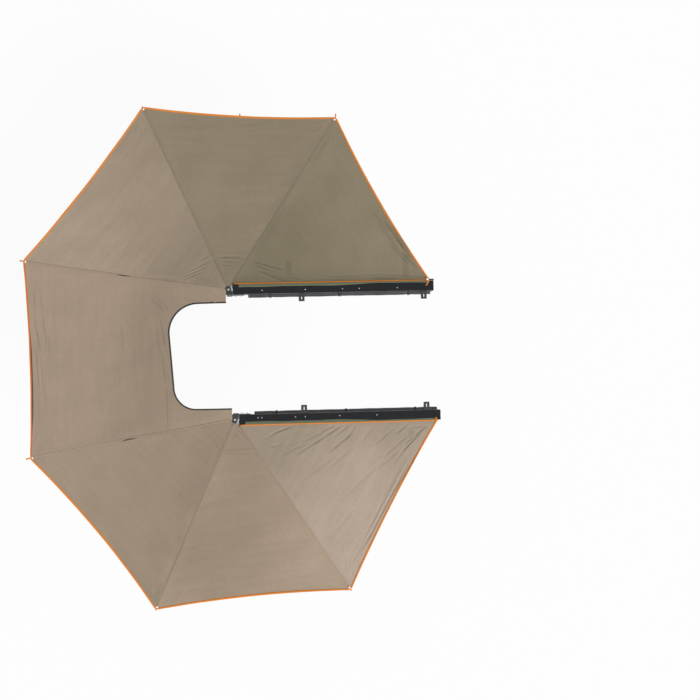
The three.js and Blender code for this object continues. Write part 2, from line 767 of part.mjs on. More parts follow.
// A row of cloth beside the cut-out, from the seam over the rear arm to the cut-out's edge
function besideCutout(side, share, columns) {
  const angle = openAngle('rear');
  const radius = THREE.MathUtils.lerp(hubClothRadius, canopyReach, share);
  const strip = stripWidth(radius);
  const start = new THREE.Vector2(
    radius * Math.cos(angle) - strip * Math.sin(angle),
    radius * Math.sin(angle) + strip * Math.cos(angle));
  const corner = sides[side].cutoutCorner;
  const into = Math.min(corner, Math.max(0, corner - cutoutDepth - start.x));
  const inset = sides[side].cutoutInset + corner - Math.sqrt(corner * corner - into * into);
  const row = backEdge(side, share);
  for (let column = 1; column <= columns; column++) {
    row.push(backPoint(side, start.x, THREE.MathUtils.lerp(start.y, -inset, column / columns)));
  }
  return row;
}

// The back panel: one piece of cloth from rear arm to rear arm, with the cut-out open to the front
function backPanelGeometry() {
  const cutoutRadius = cutoutDepth / -Math.cos(openAngle('rear'));
  const cutoutShare = (cutoutRadius - hubClothRadius) / (canopyReach - hubClothRadius);
  const sideColumns = 4;
  const middleColumns = 6;
  const outerRows = 9;
  const straightShares = [0, 0.06, 0.13, 0.22, 0.33];
  const roundedShares = [0.5, 0.56, 0.62, 0.68, 0.74, 0.8, 0.86, 0.92, 0.96, 0.985, 1];
  const stripShares = [...straightShares, ...roundedShares].map((share) => share * cutoutShare);
  const leftRows = stripShares.map((share) => besideCutout('left', share, sideColumns));
  const rightRows = stripShares.map((share) => besideCutout('right', share, sideColumns));
  const first = [...leftRows[leftRows.length - 1]];
  const last = [...rightRows[rightRows.length - 1]].reverse();
  const innerLeft = first[first.length - 1];
  const innerRight = last[0];
  const middle = [];
  for (let column = 1; column < middleColumns; column++) {
    middle.push(new THREE.Vector3().lerpVectors(innerLeft, innerRight, column / middleColumns));
  }
  const cutoutRow = [...first, ...middle, ...last];
  const stripRow = (row) => new THREE.Vector3().subVectors(row[row.length - 2], row[1]);
  const span = stripRow(cutoutRow);
  const shares = cutoutRow.map((point) =>
    new THREE.Vector3().subVectors(point, cutoutRow[1]).dot(span) / span.lengthSq());
  const settledShare = 0.45;
  const mainRows = [cutoutRow];
  for (let row = 1; row <= outerRows; row++) {
    const outward = row / outerRows;
    const share = THREE.MathUtils.lerp(cutoutShare, 1, outward);
    const [leftSeam, leftStrip] = backEdge('left', share);
    const [rightSeam, rightStrip] = backEdge('right', share);
    const points = shares.slice(2, -2).map((across) => {
      const crown = 4 * across * (1 - across);
      const point = new THREE.Vector3().lerpVectors(leftStrip, rightStrip, across);
      point.x += backEdgeBow * crown * outward * outward;
      const sag = THREE.MathUtils.lerp(backPanelSag, backEdgeSag, outward);
      point.z -= sag * crown * THREE.MathUtils.smoothstep(outward, 0, settledShare);
      return point;
    });
    mainRows.push([leftSeam, leftStrip, ...points, rightStrip, rightSeam]);
  }
  const cloth = clothGeometry([...patchesOf(leftRows), ...patchesOf(rightRows), ...patchesOf(mainRows)]);
  return withStudHoles(cloth, ['left', 'rear'], ['right', 'rear']);
}

// One arm with its tip and its stowed leg
const shared = {
  arm: armGeometry(),
  armTip: armTipGeometry(),
  legTube: legTubeGeometry(),
  innerTube: innerTubeGeometry(),
  collar: collarGeometry(),
  foot: footGeometry(),
};

function armAssembly(side, arm) {
  const group = new THREE.Group();
  const name = side + '_' + arm;
  group.add(
    piece(name + '_arm', shared.arm, plainAluminium),
    piece(name + '_arm_tip', shared.armTip, blackNylon),
    piece(name + '_leg_tube', shared.legTube, plainAluminium),
    piece(name + '_leg_inner_tube', shared.innerTube, plainAluminium),
    piece(name + '_leg_collar', shared.collar, blackNylon),
    piece(name + '_leg_foot', shared.foot, blackRubber));
  group.rotation.z = openAngle(arm);
  group.position.z = -armPitch * armNames.indexOf(arm);
  return group;
}

// One half: rail, brackets, hub, cover and its fan of arms
function halfAwning(side) {
  const { mirror, hub } = sides[side];
  const group = new THREE.Group();
  group.position.copy(hub);
  group.scale.y = mirror;
  group.add(
    piece(side + '_rail', railGeometry(), blackAnodised),
    piece(side + '_rail_end_cap', endCapGeometry(), blackNylon),
    piece(side + '_hub_bracket', hubBracketGeometry(), blackSteel),
    piece(side + '_travel_cover', coverGeometry(), coverVinyl));
  for (const [name, place] of Object.entries(crossbars)) {
    group.add(piece(side + '_' + name + '_rack_bracket', rackBracketGeometry(place - hub.x), blackSteel));
  }
  const tilted = new THREE.Group();
  tilted.rotation.x = -pinTilt;
  tilted.add(piece(side + '_hub_pin', hubPinGeometry(), zincSteel));
  for (const arm of armNames) tilted.add(armAssembly(side, arm));
  group.add(tilted);
  return group;
}

const awning = new THREE.Group();
for (const side of Object.keys(sides)) awning.add(halfAwning(side), ...fanPanels(side));
awning.add(piece('back_panel', backPanelGeometry(), canopyCanvas));

export default awning;
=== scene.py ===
"""Wraparound vehicle awning: its cloth, trim, fittings and finishes, built round the fixed frame.

Metres, in the frame's own axes: +X to the vehicle's front, +Y to its left side, +Z up.
"""

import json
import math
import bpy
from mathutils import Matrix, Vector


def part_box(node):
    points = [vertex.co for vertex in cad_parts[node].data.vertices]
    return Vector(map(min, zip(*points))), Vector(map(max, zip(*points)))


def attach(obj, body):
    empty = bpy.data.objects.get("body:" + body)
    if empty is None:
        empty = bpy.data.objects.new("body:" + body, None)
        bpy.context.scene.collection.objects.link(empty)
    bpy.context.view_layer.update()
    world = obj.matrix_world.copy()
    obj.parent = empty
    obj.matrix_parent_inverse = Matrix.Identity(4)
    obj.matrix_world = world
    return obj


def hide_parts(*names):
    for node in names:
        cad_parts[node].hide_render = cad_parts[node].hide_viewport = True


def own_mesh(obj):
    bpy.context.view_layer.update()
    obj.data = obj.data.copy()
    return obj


bl_info = {
    "name": "Wraparound Vehicle Awning",
    "version": (1, 0, 0),
    "blender": (4, 5, 0),
    "location": "View3D > Sidebar > Awning",
    "description": "Builds the cloth, trim, fittings and finishes of a wraparound vehicle awning",
    "category": "Add Mesh",
}

import bmesh
import bpy
import numpy as np
from mathutils import Matrix, Vector

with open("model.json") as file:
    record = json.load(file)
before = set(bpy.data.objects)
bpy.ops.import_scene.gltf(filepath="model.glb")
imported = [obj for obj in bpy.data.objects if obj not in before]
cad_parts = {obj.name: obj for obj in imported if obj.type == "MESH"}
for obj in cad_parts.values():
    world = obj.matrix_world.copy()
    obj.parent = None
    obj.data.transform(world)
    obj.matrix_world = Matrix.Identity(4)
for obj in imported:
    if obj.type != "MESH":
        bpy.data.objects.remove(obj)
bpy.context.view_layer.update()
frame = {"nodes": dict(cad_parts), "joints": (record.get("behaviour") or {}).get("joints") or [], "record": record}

JOINTS = {joint["name"]: joint for joint in frame["joints"]}
BODY_OF_NODE = {node: body for body, nodes in frame["record"]["behaviour"]["bodies"].items() for node in nodes}
SLOT_OF_NODE = {part["node"]: part["material_slot"] for part in frame["record"]["subparts"]}
SIDES = ("left", "right")
ARMS = ("front", "middle", "rear")
MM = 0.001

# Places on the frame that the cloth is fitted to
REACH = 2.110
LEG_PIN_DROP = 18.2 * MM
CLOTH_RISE = 1.5 * MM
HUB_PEAK = 10.1 * MM
HUB_PEAK_RADIUS = 0.075
HUB_PEAK_FADE = 1.000
HUB_HOLE = 0.026
FRONT_ARM_HOLE = 0.070
HALF_SEAM_GAP = 0.5 * MM
# Folded panels hang beside the rail's flange, each panel's folds outside the last one's
FOLD_CLEARANCE = 3 * MM
FOLD_PITCH = 30 * MM
FOLDED_SHARE = 0.014
ARM_STRIP = 20 * MM
CROWDED_STRIP_SHARE = 0.3
STUD_PLACE = 2.092
RAIL_REAR_MARGIN = 2 * MM
RAIL_FRONT_MARGIN = 26 * MM
FLANGE_THICKNESS = 12 * MM
FLANGE_GAP = 0.3 * MM
CUTOUT_DEPTH = 0.610


# Settings that a user would change

def linear(hex_colour):
    """An sRGB hex colour as linear red, green and blue."""
    values = [int(hex_colour[place:place + 2], 16) / 255 for place in (0, 2, 4)]
    return [value / 12.92 if value <= 0.04045 else ((value + 0.055) / 1.055) ** 2.4 for value in values]


def colour(name, description, hex_colour):
    """A colour setting with its sRGB default."""
    return bpy.props.FloatVectorProperty(
        name=name, description=description, subtype="COLOR", size=3, min=0, max=1, default=linear(hex_colour))


def length(name, description, default):
    """A length setting in metres."""
    return bpy.props.FloatProperty(
        name=name, description=description, unit="LENGTH", precision=4, min=0, default=default)


class ClothSizes(bpy.types.PropertyGroup):
    """Sizes of the canopy's cloth and its trim."""
    thickness: length("Cloth", "Thickness of the coated canvas", 1.2 * MM)
    panel_sag: length("Panel sag", "How far a panel hangs between two arms", 30 * MM)
    back_sag: length("Back panel sag", "How far the back panel hangs behind the cut-out", 34 * MM)
    back_edge_sag: length("Back edge sag", "How far the back panel's outer edge hangs", 20 * MM)
    back_bow: length("Back edge bow", "How far the back panel's outer edge curves in", 23 * MM)
    binding: length("Binding", "Width of the orange tape folded over the outer edges", 20 * MM)
    rail_binding: length("Rail binding", "Width of the orange tape along a rail", 13 * MM)
    dark_binding: length("Dark binding", "Width of the tape folded over the cut-out's edge", 14 * MM)
    tape: length("Tape", "Thickness of the webbing tape", 0.9 * MM)
    seam: length("Seam", "Width of the felled seam over an arm", 22 * MM)
    zip_flap: length("Zip flap", "Width of the flap over a rear arm's zip", 21 * MM)
    hem: length("Hem", "Width of the stitched hem of the doubled cloth", 11 * MM)
    hub_patch: length("Hub patch", "Reach of the doubled cloth round a hub", 0.34)
    rows: bpy.props.IntProperty(name="Rows", description="Rows of a panel's mesh", min=20, default=224)
    columns: bpy.props.IntProperty(name="Columns", description="Columns of a panel's mesh", min=20, default=200)


class ClothColours(bpy.types.PropertyGroup):
    """Colours of the cloth panel by panel, which differ partly in the canvas's own tone and partly by painted light
    and shade.
    """
    left_front: colour("Left front panel", "Canvas in the shade of the rail", "887D67")
    left_side: colour("Left side panel", "Canvas", "8E816C")
    left_rear: colour("Left rear panel", "Canvas", "9F8E7B")
    back: colour("Back panel", "Canvas", "A28F7C")
    right_rear: colour("Right rear panel", "Canvas", "9A8976")
    right_side: colour("Right side panel", "Canvas", "A28F7C")
    # The right front panel's paleness is partly painted light, from its slope towards the key light.
    right_front: colour("Right front panel", "Canvas that the sun has bleached", "B09E8E")
    orange: colour("Orange webbing", "Binding and tabs", "E08118")
    worn_orange: colour("Worn orange webbing", "Binding of the back panel's outer edge", "D16F16")
    dark: colour("Dark webbing", "Binding of the cut-out and straps", "2A2B27")
    olive: colour("Flap", "Cloth flap along each rail", "5E6550")


class MetalColours(bpy.types.PropertyGroup):
    """Colours of the metal, plastic and rubber."""
    anodised: colour("Black anodising", "Rails", "232427")
    powder: colour("Powder coat", "Brackets", "1D1E20")
    aluminium: colour("Aluminium", "Arms and legs", "B3B6BA")
    zinc: colour("Zinc plating", "Pins, bolts and screws", "A9ABAC")
    nickel: colour("Nickel", "Eyelets and caps", "E6E4DF")
    nylon: colour("Nylon", "Arm tips, collars and end caps", "1F2021")
    rubber: colour("Rubber", "Feet", "191918")
    vinyl: colour("Cover cloth", "Travel covers", "232426")


class StageSettings(bpy.types.PropertyGroup):
    """The floor and the light."""
    floor: bpy.props.FloatProperty(
        name="Floor", description="Height of the floor below the rack", unit="LENGTH", default=-2.10)
    sun: bpy.props.FloatProperty(name="Sun", description="Strength of the key light", min=0, default=2.4)
    ambient: bpy.props.FloatProperty(name="Ambient", description="Strength of the fill light", min=0, default=0.5)
    elevation: bpy.props.FloatProperty(
        name="Elevation", description="Height of the key light", subtype="ANGLE", default=math.radians(40))
    azimuth: bpy.props.FloatProperty(
        name="Azimuth", description="Turn of the key light from +X", subtype="ANGLE", default=math.radians(-50))
    softness: bpy.props.FloatProperty(
        name="Softness", description="Angle that the key light fills", subtype="ANGLE", default=math.radians(28))


# Numbers and vectors

def smoothstep(value, low, high):
    """0 below low, 1 above high and a smooth rise between them."""
    share = np.clip((value - low) / (high - low), 0, 1)
    return share * share * (3 - 2 * share)


def mix(first, second, share):
    """The value a share of the way from first to second. Shares of points get their own column."""
    first, second, share = np.asarray(first), np.asarray(second), np.asarray(share)
    if max(first.ndim, second.ndim) > share.ndim:
        share = share[..., None]
    return first + (second - first) * share


def unit(vectors):
    """Vectors brought to length 1."""
    vectors = np.asarray(vectors, float)
    return vectors / np.linalg.norm(vectors, axis=-1, keepdims=True)


class Fan:
    """One side's hub, rail and arms, as the joints and the rail's box give them."""

    def __init__(self, side):
        lead = JOINTS[side + "_front_arm_hinge"]
        axis = np.array(lead["axis"])
        self.side = side
        self.mirror = 1 if side == "left" else -1
        self.hub = np.array(lead["pos_m"])
        self.up = axis * math.copysign(1, axis[2])
        self.ahead = np.array((1.0, 0.0, 0.0))
        self.outboard = self.mirror * np.cross(self.up, self.ahead)
        self.angles, self.levels = {}, {}
        for arm in ARMS:
            pin = np.array(JOINTS[side + "_" + arm + "_leg_hinge"]["pos_m"]) - self.hub
            self.angles[arm] = math.atan2(pin @ self.outboard, pin @ self.ahead)
            self.levels[arm] = pin @ self.up + LEG_PIN_DROP
        low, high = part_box(side + "_rail")
        self.rail_start, self.rail_end = low.x, high.x
        self.rail_top = high.z
        self.flange_edge = high.y if side == "left" else low.y
        self.rail_inner = low.y if side == "left" else high.y
        self.flange_reach = abs(self.flange_edge - self.hub[1])

    def place(self, ahead, outboard, along):
        """Points from their places ahead of the pin, outboard of it and along it."""
        parts = np.broadcast_arrays(ahead, outboard, along)
        return self.hub + sum(
            part[..., None] * axis for part, axis in zip(parts, (self.ahead, self.outboard, self.up)))

    def over_arm(self, arm, radius, offset, rise=0.0):
        """Cloth over an arm, beside its middle line by an offset towards the next arm."""
        angle = self.angles[arm]
        ahead = radius * math.cos(angle) - offset * math.sin(angle)
        outboard = radius * math.sin(angle) + offset * math.cos(angle)
        height = mix(HUB_PEAK, self.levels[arm] + CLOTH_RISE, smoothstep(radius, HUB_PEAK_RADIUS, HUB_PEAK_FADE))
        return self.place(ahead, outboard, height + rise)

    def behind(self, ahead, outboard):
        """Cloth level with the rear arm, for the strips beside the cut-out."""
        radius = np.hypot(ahead, outboard)
        height = mix(HUB_PEAK, self.levels["rear"] + CLOTH_RISE, smoothstep(radius, HUB_PEAK_RADIUS, HUB_PEAK_FADE))
        return self.place(ahead, outboard, height)

    def rail_line(self, share, outwards=FLANGE_GAP, rise=0.0):
        """The cloth's edge in the keder groove of the rail's flange."""
        along = mix(self.rail_start + RAIL_REAR_MARGIN, self.rail_end - RAIL_FRONT_MARGIN, share)
        height = self.rail_top - FLANGE_THICKNESS / 2 + settings().thickness / 2 + rise
        across = np.full_like(along, self.flange_edge + self.mirror * outwards)
        return np.stack((along, across, np.full_like(along, height)), axis=-1)

    def direction(self, arm):
        """The way an arm points, in the plane that it swings in."""
        return self.ahead * math.cos(self.angles[arm]) + self.outboard * math.sin(self.angles[arm])

    def across(self, arm):
        """The way towards the next arm, square to this one."""
        return -self.ahead * math.sin(self.angles[arm]) + self.outboard * math.cos(self.angles[arm])

    def arm_body(self, arm):
        """The name of the body that an arm is."""
        return self.side + "_" + arm + "_arm"

    def settle(self, piece, arm):
        """Rides a seam on its arm."""
        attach(piece, self.arm_body(arm))
        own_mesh(piece)

    def arm_frame(self, arm, radius, drop=0.0):
        """A matrix at a place on an arm's top: x out along the arm, z up."""
        origin = self.hub + self.direction(arm) * radius + self.up * (self.levels[arm] - drop)
        columns = [self.direction(arm), np.cross(self.up, self.direction(arm)), self.up]
        turn = Matrix([[columns[col][row] for col in range(3)] for row in range(3)]).to_4x4()
        return Matrix.Translation(Vector(origin)) @ turn


def settings():
    """The cloth's sizes."""
    return bpy.context.scene.awning_cloth


def strip_width(radius):
    """The flat strip of cloth over an arm narrows towards the hub, where the arms crowd together."""
    return np.minimum(ARM_STRIP, radius * CROWDED_STRIP_SHARE)


# Creases and undulations of the cloth, as heights over places in the (x, y) plane

# Each crease runs between two places, with a width and a depth in millimetres. They follow the pull of
# the hubs, the corners and the rails.
CREASES = {
    "left_side": [
        ((-0.11, 1.005), (0.17, 0.99), 12, 6.5), ((-0.09, 0.96), (0.10, 0.95), 11, 4.5),
        ((-0.08, 0.92), (0.06, 0.91), 10, 2.8), ((-0.06, 0.88), (0.05, 0.875), 9, 2.2),
        ((-0.05, 0.845), (0.03, 0.84), 8, 1.8), ((0.05, 1.055), (0.24, 1.05), 14, 1.8),
        ((0.08, 2.385), (0.46, 2.405), 13, 2.4), ((0.12, 2.325), (0.44, 2.345), 13, 2.0),
    ],
    "left_rear": [
        ((-0.14, 1.035), (-0.31, 0.965), 11, 4.2), ((-0.15, 0.985), (-0.37, 0.875), 12, 4.4),
        ((-0.17, 0.955), (-0.30, 0.895), 9, 2.6), ((-0.20, 0.915), (-0.47, 0.795), 12, 4.8),
        ((-0.24, 0.865), (-0.50, 0.755), 12, 4.2), ((-0.30, 0.90), (-0.42, 0.85), 9, 2.6),
        ((-0.74, 0.805), (-0.46, 0.735), 12, 4.5), ((-0.16, 1.075), (-0.25, 1.045), 10, 2.4),
    ],
    "left_front": [
        ((0.20, 0.965), (0.60, 0.845), 13, 6.4), ((0.28, 0.87), (0.61, 0.725), 13, 9.5),
        ((0.24, 0.92), (0.52, 0.825), 11, 5.4), ((0.36, 0.86), (0.60, 0.755), 10, 4.6),
        ((0.62, 0.79), (0.86, 0.725), 13, 4.0), ((0.14, 0.99), (0.34, 0.945), 11, 2.4),
        ((1.56, 1.42), (1.84, 1.00), 14, 7.6), ((1.50, 1.40), (1.80, 0.95), 13, 5.6),
        ((1.65, 1.34), (1.89, 0.96), 12, 7.0), ((1.45, 1.52), (1.66, 1.20), 13, 4.6),
        ((1.70, 1.20), (1.91, 0.90), 11, 6.6), ((1.30, 0.80), (1.98, 0.765), 14, 3.2),
        ((1.74, 1.06), (1.95, 0.82), 13, 7.5), ((1.62, 1.16), (1.86, 0.86), 12, 6.0),
        ((1.42, 0.765), (2.00, 0.735), 12, 3.4), ((0.70, 0.745), (1.36, 0.75), 12, 3.0),
        ((0.95, 0.775), (1.55, 0.785), 15, 2.2), ((1.20, 1.90), (1.34, 1.66), 12, 1.8),
    ],
    "right_front": [
        ((0.35, -0.835), (0.64, -0.73), 14, 8.0), ((0.30, -0.865), (0.46, -0.815), 12, 3.4),
        ((0.36, -0.955), (0.52, -0.915), 11, 4.0), ((0.62, -1.05), (0.92, -0.865), 14, 5.2),
        ((0.80, -0.945), (1.14, -0.73), 14, 6.4), ((0.88, -0.82), (1.06, -0.735), 12, 6.4),
        ((0.71, -0.905), (0.94, -0.80), 12, 4.0), ((1.02, -0.88), (1.21, -0.73), 12, 5.2),
        ((1.12, -0.93), (1.28, -0.73), 13, 4.0), ((0.95, -1.04), (1.26, -0.80), 18, 4.4),
        ((0.50, -1.03), (0.72, -0.93), 15, 3.0), ((0.44, -0.80), (0.58, -0.745), 10, 3.2),
        ((1.30, -0.95), (1.46, -0.74), 14, 2.8), ((1.42, -0.98), (1.66, -0.78), 15, 3.4),
        ((1.50, -1.12), (1.82, -0.84), 15, 3.4), ((1.44, -1.24), (1.72, -1.00), 17, 2.6),
        ((1.66, -0.86), (1.80, -0.74), 13, 6.4), ((1.74, -0.98), (1.96, -0.78), 13, 6.6),
        ((1.84, -0.90), (2.00, -0.76), 11, 6.4), ((1.70, -1.06), (1.95, -0.82), 12, 5.4),
        ((1.27, -2.10), (1.86, -1.04), 15, 6.6), ((1.36, -2.03), (1.78, -1.26), 12, 4.2),
        ((1.44, -1.86), (1.98, -0.88), 13, 5.0), ((1.62, -1.48), (1.93, -0.98), 12, 3.6),
        ((1.31, -1.94), (1.80, -1.05), 14, 4.8), ((1.48, -1.58), (1.76, -1.08), 12, 4.0),
        ((1.18, -2.20), (1.36, -1.88), 13, 3.6), ((1.60, -1.20), (1.94, -0.80), 13, 4.4),
        ((1.25, -2.10), (1.42, -1.84), 12, 3.4),
        ((1.21, -2.22), (1.31, -2.02), 11, 2.8), ((1.72, -0.80), (2.02, -0.77), 13, 3.6),
        ((0.92, -1.22), (1.30, -0.92), 22, 2.4), ((0.72, -1.30), (1.10, -1.02), 24, 2.0),
        ((1.06, -1.55), (1.62, -1.05), 26, 2.2), ((0.98, -1.90), (1.36, -1.46), 26, 1.8),
    ],
    "back": [
        ((-1.995, 0.76), (-1.985, 0.48), 12, 4.0), ((-1.935, 0.70), (-1.905, 0.50), 12, 3.8),
        ((-2.005, 0.48), (-1.94, 0.07), 13, 5.0), ((-1.915, 0.48), (-1.87, 0.07), 13, 4.6),
        ((-1.865, 0.26), (-1.84, 0.03), 12, 3.2), ((-1.985, 0.13), (-1.955, -0.32), 13, 4.2),
        ((-1.935, 0.11), (-1.915, -0.40), 13, 3.4), ((-1.97, -0.30), (-1.96, -0.74), 13, 3.0),
        ((-1.90, -0.20), (-1.89, -0.52), 14, 2.2), ((-0.82, 0.615), (-0.65, 0.455), 11, 5.0),
        ((-0.75, 0.61), (-0.60, 0.47), 10, 4.0), ((-0.71, 0.43), (-0.665, 0.07), 12, 4.4),
        ((-0.68, 0.30), (-0.635, -0.08), 10, 3.0), ((-0.715, 0.10), (-0.665, -0.33), 11, 3.6),
        ((-0.76, 0.32), (-0.72, -0.02), 14, 2.6), ((-1.12, 0.36), (-1.10, 0.02), 16, 2.4),
        ((-1.16, -0.02), (-1.14, -0.34), 16, 2.0), ((-0.62, -0.60), (-0.50, -0.66), 10, 3.2),
        ((-0.27, 0.60), (-0.10, 0.50), 10, 3.2), ((-0.22, 0.66), (-0.06, 0.55), 10, 2.6),
    ],
    "right_rear": [
        ((-0.68, -0.80), (-0.54, -0.73), 11, 5.0), ((-0.42, -0.79), (-0.28, -0.90), 12, 2.6),
        ((-0.62, -0.81), (-0.50, -0.77), 10, 3.4), ((-1.92, -0.96), (-1.66, -1.18), 12, 2.2),
    ],
    "right_side": [
        ((0.03, -0.745), (0.12, -0.82), 10, 4.6), ((0.07, -0.735), (0.17, -0.79), 10, 4.4),
        ((0.01, -0.79), (0.09, -0.86), 9, 3.6), ((-0.12, -1.00), (0.26, -1.005), 14, 2.0),
        ((0.40, -1.62), (0.52, -1.92), 14, 1.6),
    ],
}

# Painted shadows of straps under the cloth, seen through it: (centre, half length along x, half along y)
STRAP_SHADOWS = {
    "left_front": [((0.615, 0.850), 0.028, 0.100), ((1.815, 0.860), 0.030, 0.130)],
    "right_front": [((0.600, -0.795), 0.026, 0.056), ((1.830, -0.860), 0.030, 0.048)],
}

# Where a panel's canvas is painted paler (below zero) or darker than its own colour, partly in its own tone and
# partly as painted light and shade: (place, reach, amount)
TONES = {
    "left_front": [((0.45, 1.15), 0.65, 0.44), ((1.75, 0.90), 0.45, -0.12), ((1.00, 2.20), 0.5, 0.10)],
    "left_side": [((0.15, 2.45), 0.7, 0.10), ((0.10, 1.35), 0.4, -0.10)],
    "left_rear": [((-1.75, 1.10), 0.55, -0.45), ((-0.45, 1.10), 0.5, 0.25), ((-0.75, 2.30), 0.4, 0.20)],
    "back": [((-0.75, 0.35), 0.55, 0.26), ((-0.85, -0.40), 0.50, 0.20), ((-1.50, -0.55), 0.35, -0.06),
             ((-1.00, -0.75), 0.30, 0.14)],
    "right_rear": [((-0.60, -1.30), 0.6, 0.12), ((-1.85, -1.00), 0.4, -0.06)],
    "right_side": [((-0.15, -1.90), 0.65, 0.38), ((0.85, -2.10), 0.45, -0.40), ((0.10, -1.05), 0.4, 0.25),
                   ((-0.50, -2.15), 0.30, 0.14)],
    "right_front": [((0.40, -0.95), 0.60, 0.70), ((1.72, -1.02), 0.30, 0.34), ((1.10, -1.75), 0.5, -0.05)],
}
RAIL_SHADE = {"left": (0.42, 0.10), "right": (0.34, 0.24)}
PLAIN_SHADE = 0.3


def crease_height(points, start, end, width, depth):
    """One crease: a valley or ridge with soft shoulders that fades out at both ends."""
    start, end = np.array(start), np.array(end)
    run = end - start
    reach = np.linalg.norm(run)
    along = (points - start) @ run / reach ** 2
    off = np.abs((points - start) @ np.array((-run[1], run[0])) / reach) / (width * MM)
    window = smoothstep(along, 0.0, 0.28) * (1 - smoothstep(along, 0.72, 1.0))
    return -depth * MM * window * (1 - off ** 2) * np.exp(-off ** 2)


def crease_shade(points, start, end, width, depth):
    """Painted shade along the bottom of a crease, darker for a deeper one."""
    start, end = np.array(start), np.array(end)
    run = end - start
    reach = np.linalg.norm(run)
    along = (points - start) @ run / reach ** 2
    off = np.abs((points - start) @ np.array((-run[1], run[0])) / reach) / (width * MM * 0.55)
    window = smoothstep(along, 0.0, 0.3) * (1 - smoothstep(along, 0.7, 1.0))
    return 0.075 * depth * window * np.exp(-off ** 2)


def pulled_creases(rng, centre, angles, near, far, count, depth):
    """A family of creases that radiate from a place where the cloth is pulled."""
    made = []
    for index in range(count):
        turn = mix(angles[0], angles[1], (index + 0.5 + rng.uniform(-0.3, 0.3)) / count)
        way = np.array((math.cos(turn), math.sin(turn)))
        start = centre + way * near * rng.uniform(0.8, 1.3)
        end = centre + way * far * rng.uniform(0.6, 1.1)
        made.append((start, end, rng.uniform(11, 17), depth * rng.uniform(0.6, 1.2)))
    return made


def ripples(points, seed, way):
    """Faint ripples across a panel, square to the way that it is pulled."""
    rng = np.random.default_rng(seed + 100)
    across = np.array((-way[1], way[0]))
    total = np.zeros(len(points))
    for wave, height in ((0.17, 0.75), (0.105, 0.42), (0.062, 0.22)):
        bend = 0.35 * np.sin(points @ across * rng.uniform(2, 4) + rng.uniform(0, 6.28))
        swell = 0.5 + 0.5 * np.sin(points @ across * rng.uniform(3, 6) + points @ way * rng.uniform(1, 3))
        total += height * MM * swell * np.sin(2 * math.pi * (points @ way) / wave + bend * 8)
    return total


def undulation(points, seed, lengths=(0.62, 0.41, 0.27), heights=(2.8, 1.8, 1.1)):
    """Low waves that a hand-cut cloth has between its seams."""
    rng = np.random.default_rng(seed)
    total = np.zeros(len(points))
    for wave, height in zip(lengths, heights):
        for _ in range(3):
            turn, phase = rng.uniform(0, math.pi), rng.uniform(0, 2 * math.pi)
            way = np.array((math.cos(turn), math.sin(turn))) / (wave * rng.uniform(0.8, 1.3))
            total += height * MM * 0.58 * np.sin(2 * math.pi * (points @ way) + phase)
    return total


# The panels' surfaces

class Panel:
    """One panel of cloth: its surface with creases, the body it rides on and how it gathers."""

    def __init__(self, name, seed, body, way, gather_axis, gather_anchor, keep, joint):
        self.name = name
        self.way = np.array(way)
        self.seed = seed
        self.body = body
        self.gather = {"joint": joint, "axis": tuple(gather_axis), "anchor": tuple(gather_anchor), "keep": keep}
        self.arms = []
        self.families = []

    def lift(self, points):
        """Points with the cloth's creases and waves added to their height."""
        flat = points[..., :2].reshape(-1, 2)
        height = undulation(flat, self.seed) + ripples(flat, self.seed, self.way)
        for start, end, width, depth in CREASES.get(self.name, []) + self.families:
            height += crease_height(flat, start, end, width, depth)
        height = height.reshape(points.shape[:-1])
        for fan, arm in self.arms:
            off = np.abs((points - fan.hub) @ fan.across(arm))
            height = height * smoothstep(off, 0.020, 0.085)
        lifted = points.copy()
        lifted[..., 2] += height * self.freedom(points)
        return lifted

    def freedom(self, points):
        """How free the cloth is to crease: not at all where it is held."""
        return np.ones(points.shape[:-1])

    def follow(self, piece):
        """Rides a piece on this panel's body."""
        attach(piece, self.body)
        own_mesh(piece)


